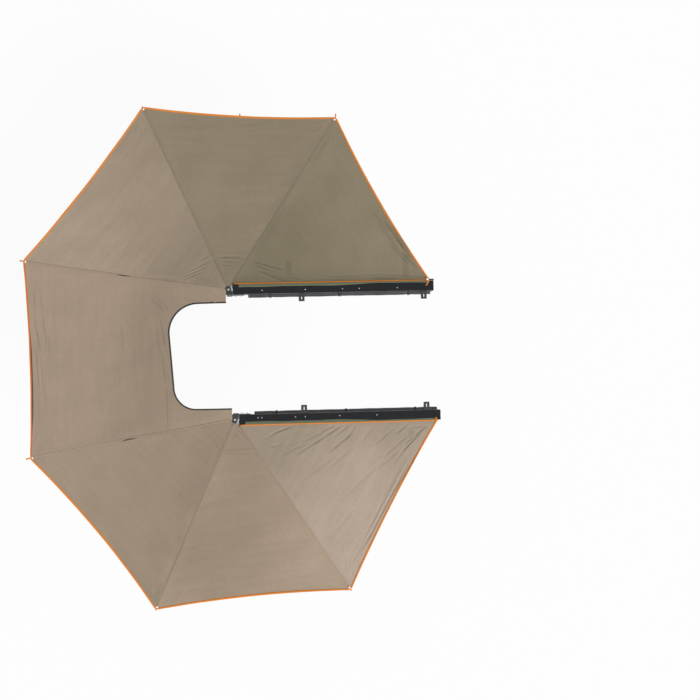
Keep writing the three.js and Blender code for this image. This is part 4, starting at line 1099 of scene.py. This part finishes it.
def tape_mesh(edge, inward, width, clear, closed_end=True):
    """A tape folded over an edge: a sheet that runs from the top face round the edge to the bottom face.
    Edge and inward are matching points on the cloth's upper face."""
    way = unit(inward - edge)
    run = np.gradient(edge, axis=0)
    normal = unit(np.cross(run, way))
    normal *= np.sign(normal[:, 2:3])
    under = settings().thickness
    profile = np.array([
        (width, clear), (width * 0.5, clear), (0.0, clear), (-clear - 0.2 * MM, 0.0),
        (-clear - 0.2 * MM, -under), (0.0, -under - clear), (width * 0.5, -under - clear), (width, -under - clear)])
    lengths = np.concatenate(((0,), np.cumsum(np.linalg.norm(np.diff(edge, axis=0), axis=1))))
    girth = np.concatenate(((0,), np.cumsum(np.linalg.norm(np.diff(profile, axis=0), axis=1))))
    coordinates = {}

    def place(along, around):
        index = np.clip(np.rint(along * (len(edge) - 1)).astype(int), 0, len(edge) - 1)
        step = np.clip(np.rint(around * (len(profile) - 1)).astype(int), 0, len(profile) - 1)
        coordinates["uv"] = np.stack((lengths[index], girth[step]), axis=-1)
        return edge[index] + way[index] * profile[step, 0:1] + normal[index] * profile[step, 1:2]

    mesh = grid_mesh(len(edge) - 1, len(profile) - 1, place, upright=False)
    set_uv(mesh, coordinates["uv"])
    return mesh


def ribbon_mesh(first, second, columns=4, crown=0.0, lift=0.0):
    """A flat ribbon between two matching rows of points, crowned along its middle. UV in metres."""
    lengths = np.concatenate(((0,), np.cumsum(np.linalg.norm(np.diff(first, axis=0), axis=1))))
    width = float(np.linalg.norm(second - first, axis=1).mean())
    run = np.gradient((first + second) / 2, axis=0)
    normal = unit(np.cross(run, second - first))
    normal *= np.sign(normal[:, 2:3])
    coordinates = {}

    def place(along, around):
        index = np.clip(np.rint(along * (len(first) - 1)).astype(int), 0, len(first) - 1)
        coordinates["uv"] = np.stack((lengths[index], around * width), axis=-1)
        rise = lift + crown * 4 * around * (1 - around)
        return mix(first[index], second[index], around) + normal[index] * rise[:, None]

    mesh = grid_mesh(len(first) - 1, columns, place)
    set_uv(mesh, coordinates["uv"])
    return mesh


class AWNING_OT_bindings(bpy.types.Operator):
    """Adds the tape folded over the canopy's edges"""
    bl_idname = "awning.bindings"
    bl_label = "Bindings"

    def execute(self, context):
        sizes = settings()
        clear = sizes.tape / 2 + 0.2 * MM
        for name, panel in PANELS.items():
            if name == "back":
                continue
            share = sizes.binding / (REACH - panel.inner)
            across = np.linspace(0, 1, 181)
            one = np.ones_like(across)
            edge, inner = panel.surface(across, one), panel.surface(across, one * (1 - share))
            mesh = tape_mesh(edge, inner, sizes.binding, clear)
            self.add(name + "_edge_binding", mesh, "orange_webbing", panel)
            hole = panel.surface(across, 0 * one)
            beyond = panel.surface(across, one * 0.006)
            self.add(name + "_hub_binding", tape_mesh(hole, beyond, 10 * MM, clear), "dark_webbing", panel)
            if panel.first == "rail":
                outward = np.linspace(0, 1, 181)
                reach = np.linalg.norm(panel.surface(np.ones(1), np.ones(1)) - panel.surface(np.zeros(1), np.ones(1)))
                edge = panel.surface(0 * outward, outward)
                inner = panel.surface(0 * outward + sizes.rail_binding / reach, outward)
                edge[:, 2] += 3.0 * MM
                inner[:, 2] += 3.0 * MM
                self.add(name + "_rail_binding", tape_mesh(edge, inner, sizes.rail_binding, clear),
                         "orange_webbing", panel)
        back = PANELS["back"]
        across = np.linspace(0, 3, 301)
        one = np.ones_like(across)
        edge = back.lift(back.main(across, one))
        inner = back.lift(back.main(across, one * (1 - sizes.binding / 1.5)))
        self.add("back_edge_binding", tape_mesh(edge, inner, sizes.binding * 0.85, clear), "worn_webbing", back)
        # A dark strip along the inside of the back edge's binding, narrow towards its ends
        across = np.linspace(1.0, 2.6, 200)
        taper = 9 * MM * smoothstep(across, 1.0, 1.4) * (1 - smoothstep(across, 2.2, 2.6)) + 0.6 * MM
        lines = [back.lift(back.main(across, 1 - (sizes.binding * 0.8 + off) / 1.49)) for off in (0 * taper, taper)]
        self.add("back_edge_cord", ribbon_mesh(*lines, 4, 1.2 * MM, 1.0 * MM), "dark_webbing", back)
        outward = np.linspace(0, 1, 100)
        ones = np.ones_like(outward)
        middle = np.linspace(1, 2, 60)[1:-1]
        inset = 0.05
        edge = np.concatenate((
            back.strip("left", ones, outward), back.main(middle, 0 * middle),
            back.strip("right", ones, outward)[::-1]))
        run = np.gradient(edge, axis=0)
        inner = edge + unit(np.cross(run, np.array((0, 0, 1.0)))) * inset * np.array((1, 1, 0))
        if inner[len(inner) // 2, 0] > edge[len(edge) // 2, 0]:
            inner = 2 * edge - inner
        self.add("back_cut_out_binding", tape_mesh(back.lift(edge), back.lift(inner), sizes.dark_binding, clear),
                 "dark_webbing", back)
        return {"FINISHED"}

    def add(self, name, mesh, finish, panel):
        """A binding that follows its panel."""
        piece = link(name, mesh, material_named(finish))
        thicken(piece, settings().tape)
        panel.follow(piece)


class AWNING_OT_seams(bpy.types.Operator):
    """Adds the felled seams over the front and middle arms, and the zips under their flaps over the rear arms"""
    bl_idname = "awning.seams"
    bl_label = "Seams and zips"

    # How dark the line of a seam is, and whose cloth laps over
    SEAMS = {("left", "front"): (0.0, "left_front"), ("left", "middle"): (0.27, "left_side"),
             ("right", "front"): (0.05, "right_side"), ("right", "middle"): (0.46, "right_side")}
    # Where a flap is drawn back from its zip, as a distance from the hub, how far, and the strength of the painted
    # shadow line along its edge
    GAPES = {"left": (1.09, 11 * MM, 0.0), "right": (1.10, 14 * MM, 0.30)}

    def execute(self, context):
        for fan in FANS.values():
            for arm in ("front", "middle"):
                self.add_seam(context, fan, arm)
            self.add_zip(context, fan)
        return {"FINISHED"}

    def add_seam(self, context, fan, arm):
        """A felled seam: one cloth's edge folded over the other's and stitched down twice."""
        width = settings().seam
        strength, cloth = self.SEAMS[fan.side, arm]
        radius = np.linspace(0.075 if arm == "front" else 0.045, REACH - 0.012, 200)
        half = width / 2 * np.minimum(1, radius * 2 * CROWDED_STRIP_SHARE / (width + 6 * MM))
        mesh = ribbon_mesh(fan.over_arm(arm, radius, -half), fan.over_arm(arm, radius, half), 8, 0.6 * MM, 0.7 * MM)
        self.finish(context, fan, arm, fan.side + "_" + arm + "_seam", mesh, cloth, (width / 2, strength, 6 * MM))

    def add_zip(self, context, fan):
        """The zip that joins the back panel, and the flap that covers it except where it gapes."""
        radius = np.linspace(0.045, REACH - 0.012, 240)
        narrow = np.minimum(1, radius * 2 * CROWDED_STRIP_SHARE / (settings().seam + 6 * MM))
        coil = ribbon_mesh(fan.over_arm("rear", radius, -6.5 * MM * narrow),
                           fan.over_arm("rear", radius, 7.5 * MM * narrow), 4, 0.4 * MM, 0.5 * MM)
        piece = link(fan.side + "_zip", coil, material_named("dark_webbing"))
        thicken(piece, 0.7 * MM)
        fan.settle(piece, "rear")
        place, depth, strength = self.GAPES[fan.side]
        gape = depth * (1 - smoothstep(np.abs(radius - place), 0.010, 0.115))
        wave = (0.8 * np.sin(radius * 9) + 0.5 * np.sin(radius * 23 + 1)) * MM
        low = -8.0 * MM + wave + gape
        high = low - gape * 0.6 + settings().zip_flap
        mesh = ribbon_mesh(fan.over_arm("rear", radius, low * narrow), fan.over_arm("rear", radius, high * narrow),
                           8, 0.5 * MM, 1.3 * MM)
        # A painted shadow line along the flap's low edge, only on the right, where the key light casts no shadow from
        # it
        self.finish(context, fan, "rear", fan.side + "_zip_flap", mesh, "back", (0.0, strength, 4 * MM))

    def finish(self, context, fan, arm, name, mesh, cloth, seam):
        """A seam's cloth, in the tone of the panel that it belongs to."""
        points = vertices_of(mesh)
        attribute = mesh.attributes.new("shade", "FLOAT", "POINT")
        attribute.data.foreach_set("value", cloth_shade(PANELS[cloth], points).astype(np.float32))
        base = getattr(context.scene.awning_colours, cloth)
        piece = link(name, mesh, canvas_material(name + "_canvas", base, math.pi / 2, seam))
        thicken(piece, 0.8 * MM)
        fan.settle(piece, arm)


class AWNING_OT_patches(bpy.types.Operator):
    """Adds the stitched hems of the doubled cloth round the hubs and of the back panel's insert"""
    bl_idname = "awning.patches"
    bl_label = "Patches"

    def execute(self, context):
        sizes = settings()
        for name, panel in PANELS.items():
            if name == "back" or panel.first == "rail":
                continue
            place = (sizes.hub_patch - panel.inner) / (REACH - panel.inner)
            across = np.linspace(0.03, 0.97, 90)
            self.add(context, panel, name, "hub_patch_hem", panel.surface(across, place + 0 * across),
                     panel.surface(across, place + sizes.hem / (REACH - panel.inner) + 0 * across), 0.13)
        back = PANELS["back"]
        across = np.linspace(2.06, 2.955, 90)
        lines = [back.lift(back.main(across, share + 0 * across)) for share in (0.046, 0.046 + sizes.hem / 1.49)]
        self.add(context, back, "back", "insert_hem", *lines, 0.42)
        return {"FINISHED"}

    def add(self, context, panel, cloth, part, first, second, strength):
        """A hem that follows its panel."""
        name = cloth + "_" + part
        mesh = ribbon_mesh(first, second, 4, 0.3 * MM, 0.5 * MM)
        attribute = mesh.attributes.new("shade", "FLOAT", "POINT")
        attribute.data.foreach_set("value", cloth_shade(panel, vertices_of(mesh)).astype(np.float32))
        base = getattr(context.scene.awning_colours, cloth)
        piece = link(name, mesh, canvas_material(
            name + "_canvas", base, math.pi / 2, (0.0, strength, settings().hem / 2)))
        thicken(piece, 0.6 * MM)
        panel.follow(piece)


class AWNING_OT_corners(bpy.types.Operator):
    """Adds the eyelets, their caps and the webbing tabs at the canopy's corners"""
    bl_idname = "awning.corners"
    bl_label = "Corner fittings"

    # A tab's length beyond the edge and its turn from the arm's direction
    TABS = {
        ("left", "rear"): (0.042, 0.0), ("left", "middle"): (0.016, 0.0), ("left", "front"): (0.042, 0.5),
        ("right", "rear"): (0.050, 0.0), ("right", "middle"): (0.020, 0.0), ("right", "front"): (0.022, 0.0),
    }
    EDGE_TAB_PLACE = 0.143

    def execute(self, context):
        for fan in FANS.values():
            for arm in ARMS:
                matrix = fan.arm_frame(arm, STUD_PLACE) @ Matrix.Translation((0, 0, CLOTH_RISE + 1.6 * MM))
                self.add_eyelet(fan.side + "_" + arm + "_eyelet", matrix, fan.arm_body(arm))
                self.add_tab(fan, arm)
            self.add_rail_corner(fan)
        self.add_edge_tab(PANELS["left_side"])
        return {"FINISHED"}

    def add_eyelet(self, name, matrix, body):
        """A nickel eyelet pressed through the cloth, and the domed cap on the stud."""
        ring = turned([(4.6 * MM, -1.0 * MM), (4.6 * MM, 0.9 * MM), (6.5 * MM, 1.5 * MM), (9.5 * MM, 1.2 * MM),
                       (11.2 * MM, 0.2 * MM), (11.0 * MM, -0.4 * MM)])
        cap = turned([(0, 4.4 * MM), (2.6 * MM, 4.1 * MM), (5.0 * MM, 3.0 * MM), (6.2 * MM, 1.5 * MM),
                      (6.3 * MM, 0.6 * MM), (4.6 * MM, 0.2 * MM)])
        mesh = joined([placed(ring, matrix), placed(cap, matrix)])
        piece = link(name, mesh, material_named("nickel"))
        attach(piece, body)

    def add_tab(self, fan, arm):
        """A loop of orange webbing sewn under the eyelet."""
        reach, turn = self.TABS[fan.side, arm]
        width = 14 * MM
        along = np.linspace(-0.035, reach, 14)
        drop = 2.5 * MM * smoothstep(along, 0.0, reach)
        shift = np.maximum(along, 0) * math.tan(turn)
        lines = [fan.over_arm(arm, REACH + along, side + shift) + np.outer(1.4 * MM - drop, fan.up)
                 for side in (-width / 2, width / 2)]
        mesh = ribbon_mesh(lines[0], lines[1], 4, 0.3 * MM, 0.4 * MM)
        piece = link(fan.side + "_" + arm + "_tab", mesh, material_named("orange_webbing"))
        thicken(piece, 2.0 * MM)
        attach(piece, fan.arm_body(arm))

    def add_edge_tab(self, panel):
        """A short loop of webbing at the middle of the left side panel's outer edge."""
        across = np.linspace(0, 1, 401)
        edge = panel.surface(across, np.ones_like(across))
        share = across[np.argmin(np.abs(edge[:, 0] - self.EDGE_TAB_PLACE))]
        middle = panel.surface(np.full(1, share), np.ones(1))[0]
        outward = np.linspace(-0.024, 0.022, 10)
        lines = [middle + np.stack((np.full_like(outward, side), outward, 1.6 * MM + 0 * outward), axis=-1)
                 for side in (-7 * MM, 7 * MM)]
        piece = link("left_side_edge_tab", ribbon_mesh(lines[0], lines[1], 4, 0.3 * MM, 0.4 * MM),
                     material_named("orange_webbing"))
        thicken(piece, 2.0 * MM)
        panel.follow(piece)

    def add_rail_corner(self, fan):
        """What holds the canopy's front corner: an orange tail over the rail's end and, on the left, an eyelet
        and a dark pull tab."""
        corner = fan.rail_line(np.ones(1))[0]
        inboard_reach, lean = (50 * MM, -38 * MM) if fan.side == "left" else (26 * MM, -12 * MM)
        share = np.linspace(0, 1, 24)
        inboard = mix(-16 * MM, inboard_reach, share)
        height = mix(corner[2] + 2.4 * MM, fan.rail_top + 2.4 * MM, smoothstep(inboard, -6 * MM, 6 * MM))
        along = corner[0] - 8 * MM + lean * share
        middle = np.stack((along, fan.flange_edge - fan.mirror * inboard, height), axis=-1)
        half = np.array((8 * MM, 0, 0))
        self.add_strip(fan.side + "_corner_tail", middle - half, middle + half, "orange_webbing")
        if fan.side == "left":
            eyelet = corner + np.array((-31 * MM, 14 * MM, 3.6 * MM))
            self.add_eyelet("left_rail_eyelet", Matrix.Translation(Vector(eyelet)), "root")
            along = corner[0] + mix(-14 * MM, 34 * MM, share)
            middle = np.stack((along, np.full_like(along, fan.flange_edge + 9.5 * MM),
                               np.full_like(along, corner[2] + 3.4 * MM)), axis=-1)
            half = np.array((0, 8 * MM, 0))
            self.add_strip("left_corner_pull_tab", middle - half, middle + half, "dark_webbing")

    def add_strip(self, name, first, second, finish):
        """A strip of webbing that stays with the rail."""
        piece = link(name, ribbon_mesh(first, second, 4, 0.3 * MM, 0.2 * MM), material_named(finish))
        thicken(piece, 1.6 * MM)
        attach(piece, "root")


class AWNING_OT_rail_trim(bpy.types.Operator):
    """Adds the cloth flap and the screws along each rail"""
    bl_idname = "awning.rail_trim"
    bl_label = "Rail trim"

    SCREWS = {"left": (0.34, 0.78, 1.16, 1.33, 1.72), "right": (0.27, 0.31, 0.65, 0.75, 1.10, 1.48)}

    def execute(self, context):
        for fan in FANS.values():
            along = np.linspace(0.03, 0.985, 160)
            line = fan.rail_line(along)
            top = fan.rail_top + 1.0 * MM
            wobble = 2.0 * MM * np.sin(line[:, 0] * 7) + 1.2 * MM * np.sin(line[:, 0] * 19 + 1)
            fade = 0.55 + 0.45 * (1 - smoothstep(line[:, 0], 1.1, 1.5))
            outer, inner = line.copy(), line.copy()
            outer[:, 1] = fan.flange_edge - fan.mirror * 1.0 * MM
            inner[:, 1] = fan.flange_edge - fan.mirror * (30 * MM * fade + wobble)
            outer[:, 2] = top
            inner[:, 2] = top
            mesh = ribbon_mesh(outer, inner, 8, 2.5 * MM, 0.3 * MM)
            attribute = mesh.attributes.new("shade", "FLOAT", "POINT")
            attribute.data.foreach_set("value", np.full(len(mesh.vertices), 0.1, np.float32))
            area = area_of(mesh)
            piece = link(fan.side + "_rail_flap", mesh, material_named("olive_canvas"))
            thicken(piece, 1.0 * MM)
            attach(piece, "root")
            heads = []
            for place in self.SCREWS[fan.side]:
                head = turned([(0, 3.4 * MM), (3.0 * MM, 3.1 * MM), (5.6 * MM, 1.8 * MM), (6.6 * MM, 0.2 * MM),
                               (6.6 * MM, 0.0)], 20)
                spot = (place, fan.rail_inner + fan.mirror * 34 * MM, fan.rail_top + 0.1 * MM)
                heads.append(placed(head, Matrix.Translation(spot)))
            screws = link(fan.side + "_rail_screws", joined(heads), material_named("zinc_steel"))
            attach(screws, "root")
        return {"FINISHED"}


class AWNING_OT_travel_covers(bpy.types.Operator):
    """Adds the rolled travel covers with their straps and buckles"""
    bl_idname = "awning.travel_covers"
    bl_label = "Travel covers"

    TURNS = 2.6

    def execute(self, context):
        for fan in FANS.values():
            low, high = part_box(fan.side + "_travel_cover")
            centre = np.array(((low.y + high.y) / 2, (low.z + high.z) / 2))
            outer = (high.z - low.z) / 2 - 1.0 * MM
            self.add_roll(fan, low.x, high.x, centre, outer)
            for share in (0.12, 0.5, 0.88):
                self.add_strap(fan, low.x + (high.x - low.x) * share, centre, outer, share)
        return {"FINISHED"}

    def add_roll(self, fan, start, end, centre, outer):
        """Coated cloth rolled up, loose at its heart, with long soft wrinkles."""
        inner = outer * 0.55
        rng = np.random.default_rng(41 if fan.side == "left" else 42)
        phases = rng.uniform(0, 6.28, 6)

        def place(along, around):
            x = mix(start, end, along)
            turn = math.pi / 2 + around * self.TURNS * 2 * math.pi
            radius = mix(inner, outer - 1.5 * MM, around)
            radius = radius + 0.9 * MM * np.sin(x * 9 + phases[0] + 2 * turn) * np.sin(turn * 3 + phases[1])
            radius = radius + 0.7 * MM * np.sin(x * 31 + phases[2] + turn)
            for share in (0.12, 0.5, 0.88):
                off = np.abs(along - share) * (end - start)
                radius = radius - 2.4 * MM * np.exp(-(off / 0.035) ** 2) * smoothstep(around, 0.5, 0.8)
            y = centre[0] + fan.mirror * radius * np.cos(turn)
            z = centre[1] + radius * np.sin(turn)
            return np.stack((x, y, z), axis=-1)

        mesh = grid_mesh(170, 110, place, upright=False)
        area = area_of(mesh)
        piece = link(fan.side + "_travel_cover_roll", mesh, material_named("cover_vinyl"))
        thicken(piece, 0.9 * MM)
        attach(piece, "root")
        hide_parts(fan.side + "_travel_cover")

    def add_strap(self, fan, x, centre, outer, share):
        """A webbing strap round the roll, with a side-release buckle below."""
        turns = np.linspace(0, 2 * math.pi, 49)
        radius = outer + 0.4 * MM
        lines = []
        for side in (-0.0125, 0.0125):
            lines.append(np.stack((np.full_like(turns, x + side), centre[0] + radius * np.cos(turns),
                                   centre[1] + radius * np.sin(turns)), axis=-1))
        mesh = ribbon_mesh(lines[0], lines[1], 3)
        name = fan.side + "_cover_strap_" + str(round(share * 100))
        strap = link(name, mesh, material_named("dark_webbing"))
        thicken(strap, 1.2 * MM)
        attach(strap, "root")
        buckle = block((0.032, 0.040, 0.007), 2.2 * MM)
        spot = (x, centre[0] + fan.mirror * (outer + 4.5 * MM) * 0.94, centre[1] - outer * 0.34)
        out = Vector((0, fan.mirror * 0.94, -0.34))
        piece = link(name + "_buckle", placed(buckle, facing(spot, out)), material_named("black_nylon"))
        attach(piece, "root")


class AWNING_OT_fastenings(bpy.types.Operator):
    """Adds the bolts of the hub and rack brackets and the screws of the end caps"""
    bl_idname = "awning.fastenings"
    bl_label = "Fastenings"

    def execute(self, context):
        for fan in FANS.values():
            inboard = (0, -fan.mirror, 0)
            bolts = []
            hub_low, hub_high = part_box(fan.side + "_hub_bracket")
            face = hub_low.y if fan.side == "left" else hub_high.y
            height = fan.rail_top - 47 * MM
            for place in (70 * MM, 125 * MM):
                bolts.append((fan.hub[0] + place, face, height))
            for name in ("rear", "front"):
                low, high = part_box(fan.side + "_" + name + "_rack_bracket")
                back = fan.rail_inner - fan.mirror * 6.3 * MM
                for place in (-15 * MM, 15 * MM):
                    bolts.append(((low.x + high.x) / 2 + place, back, height))
            heads = []
            for spot in bolts:
                washer = turned([(0, 1.4 * MM), (8.2 * MM, 1.4 * MM), (8.6 * MM, 0.0), (0, 0)], 24)
                heads.append(placed(washer, facing(spot, inboard)))
                nut = hexagon_head(13 * MM, 6.4 * MM)
                heads.append(placed(nut, facing(Vector(spot) + Vector(inboard) * 1.4 * MM, inboard)))
                thread = turned([(0, 10.5 * MM), (3.2 * MM, 10.5 * MM), (3.9 * MM, 9.8 * MM), (3.9 * MM, 7 * MM)], 18)
                heads.append(placed(thread, facing(spot, inboard)))
            piece = link(fan.side + "_bracket_bolts", joined(heads), material_named("zinc_steel"))
            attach(piece, "root")
        return {"FINISHED"}


def refined(node, bevel):
    """A merged copy of a CAD node's mesh with smooth rounds and softened edges."""
    source = frame["nodes"][node]
    shape = bmesh.new()
    shape.from_mesh(source.data)
    bmesh.ops.remove_doubles(shape, verts=shape.verts, dist=0.02 * MM)
    bmesh.ops.dissolve_limit(shape, angle_limit=math.radians(1), verts=shape.verts, edges=shape.edges)
    mesh = mesh_of(shape)
    for layer in list(mesh.uv_layers):
        mesh.uv_layers.remove(layer)
    piece = link(node + "_finished", mesh, source.data.materials[0] if source.data.materials else None)
    if bevel:
        rounding = piece.modifiers.new("rounding", "BEVEL")
        rounding.width = bevel
        rounding.segments = 2
        rounding.limit_method = "ANGLE"
        rounding.angle_limit = math.radians(40)
        rounding.harden_normals = True
    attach(piece, BODY_OF_NODE[node])
    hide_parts(node)
    return piece


class AWNING_OT_metalwork(bpy.types.Operator):
    """Finishes the rails, brackets, pins, arms and legs"""
    bl_idname = "awning.metalwork"
    bl_label = "Metalwork"

    def execute(self, context):
        for node, slot in SLOT_OF_NODE.items():
            if slot == "canopy_canvas" or slot == "cover_vinyl":
                continue
            if slot == "plain_aluminium":
                side, arm = node.split("_")[:2]
                finish = material_named("aluminium_" + side + "_" + arm)
            else:
                finish = material_named(slot)
            keep_plain = node.endswith("_rail") or node.endswith("_end_cap") or node.endswith("rack_bracket")
            if keep_plain:
                data = frame["nodes"][node].data
                data.materials.clear()
                data.materials.append(finish)
                continue
            piece = refined(node, 0.5 * MM if node.endswith(("tip", "bracket", "pin", "arm")) else 0.0)
            piece.data.materials.clear()
            piece.data.materials.append(finish)
        return {"FINISHED"}


# The stage

def floor_material(settings_of_stage):
    """A pale studio floor: near white to the camera, with the object's soft shadow kept."""
    material = bpy.data.materials.new("studio_floor")
    material.use_nodes = True
    tree = material.node_tree
    tree.nodes.clear()
    path = add_node(tree, "ShaderNodeLightPath")
    seen = calculated(tree, "MAXIMUM", path.outputs["Is Camera Ray"], calculated(
        tree, "MAXIMUM", path.outputs["Is Glossy Ray"], path.outputs["Is Transmission Ray"]))
    share = calculated(tree, "MULTIPLY", seen, 0.93)
    plain = add_node(tree, "ShaderNodeBsdfDiffuse", {"Color": (0.82, 0.82, 0.82, 1)})
    bright = add_node(tree, "ShaderNodeEmission", {"Color": (1, 1, 1, 1), "Strength": 1.0})
    both = add_node(tree, "ShaderNodeMixShader", {0: share, 1: plain.outputs[0], 2: bright.outputs[0]})
    add_node(tree, "ShaderNodeOutputMaterial", {0: both.outputs[0]})
    return material


class AWNING_OT_stage(bpy.types.Operator):
    """Adds the camera, the floor and the light"""
    bl_idname = "awning.stage"
    bl_label = "Stage"

    # The photograph is taken from 10 m above the rack, almost straight down
    CAMERA_PLACE = (0.772, -0.200, 9.8)
    CAMERA_TURN = (1.340, -2.589, -1.375)
    CAMERA_FIELD = 39.96

    def execute(self, context):
        stage = context.scene.awning_stage
        lens = bpy.data.cameras.new("photograph")
        lens.sensor_width = 36
        lens.lens_unit = "FOV"
        lens.angle = math.radians(self.CAMERA_FIELD)
        lens.clip_end = 100
        camera = bpy.data.objects.new("photograph", lens)
        camera.location = self.CAMERA_PLACE
        camera.rotation_euler = [math.radians(turn) for turn in self.CAMERA_TURN]
        context.scene.collection.objects.link(camera)
        context.scene.camera = camera

        shape = bmesh.new()
        bmesh.ops.create_grid(shape, x_segments=8, y_segments=8, size=60)
        bmesh.ops.translate(shape, vec=(0, 0, stage.floor), verts=shape.verts)
        floor = link("studio_floor", mesh_of(shape), floor_material(stage), smooth=False)

        light = bpy.data.lights.new("key", "SUN")
        light.energy = stage.sun
        light.angle = stage.softness
        key = bpy.data.objects.new("key", light)
        way = Vector((math.cos(stage.elevation) * math.cos(stage.azimuth),
                      math.cos(stage.elevation) * math.sin(stage.azimuth), math.sin(stage.elevation)))
        key.rotation_euler = way.to_track_quat("Z", "Y").to_euler()
        key.location = way * 8
        context.scene.collection.objects.link(key)

        world = bpy.data.worlds.new("studio")
        world.use_nodes = True
        tree = world.node_tree
        tree.nodes.clear()
        path = add_node(tree, "ShaderNodeLightPath")
        seen = calculated(tree, "MAXIMUM", path.outputs["Is Camera Ray"], calculated(
            tree, "MAXIMUM", path.outputs["Is Glossy Ray"], path.outputs["Is Transmission Ray"]))
        strength = add_node(tree, "ShaderNodeMapRange", {0: seen, 1: 0.0, 2: 1.0, 3: stage.ambient, 4: 1.0})
        sky = add_node(tree, "ShaderNodeBackground", {"Color": (1, 1, 1, 1), "Strength": strength.outputs[0]})
        add_node(tree, "ShaderNodeOutputWorld", {0: sky.outputs[0]})
        context.scene.world = world
        context.scene.view_settings.view_transform = "Standard"
        return {"FINISHED"}


OPERATORS = (
    AWNING_OT_stage, AWNING_OT_canopy, AWNING_OT_bindings, AWNING_OT_seams, AWNING_OT_patches, AWNING_OT_corners,
    AWNING_OT_rail_trim, AWNING_OT_travel_covers, AWNING_OT_fastenings, AWNING_OT_metalwork)
SETTINGS = {
    "awning_cloth": ClothSizes, "awning_colours": ClothColours, "awning_metals": MetalColours,
    "awning_stage": StageSettings}


class AWNING_PT_build(bpy.types.Panel):
    """Lists the awning's operators in the sidebar"""
    bl_idname = "AWNING_PT_build"
    bl_label = "Awning"
    bl_space_type = "VIEW_3D"
    bl_region_type = "UI"
    bl_category = "Awning"

    def draw(self, context):
        for operator in OPERATORS:
            self.layout.operator(operator.bl_idname)


def register():
    for cls in (*SETTINGS.values(), *OPERATORS, AWNING_PT_build):
        bpy.utils.register_class(cls)
    for name, cls in SETTINGS.items():
        setattr(bpy.types.Scene, name, bpy.props.PointerProperty(type=cls))


def unregister():
    for name in SETTINGS:
        delattr(bpy.types.Scene, name)
    for cls in (AWNING_PT_build, *reversed(OPERATORS), *reversed(SETTINGS.values())):
        bpy.utils.unregister_class(cls)


def main():
    register()
    make_panels()
    for operator in OPERATORS:
        category, name = operator.bl_idname.split(".")
        getattr(getattr(bpy.ops, category), name)()


if __name__ == "__main__":
    main()
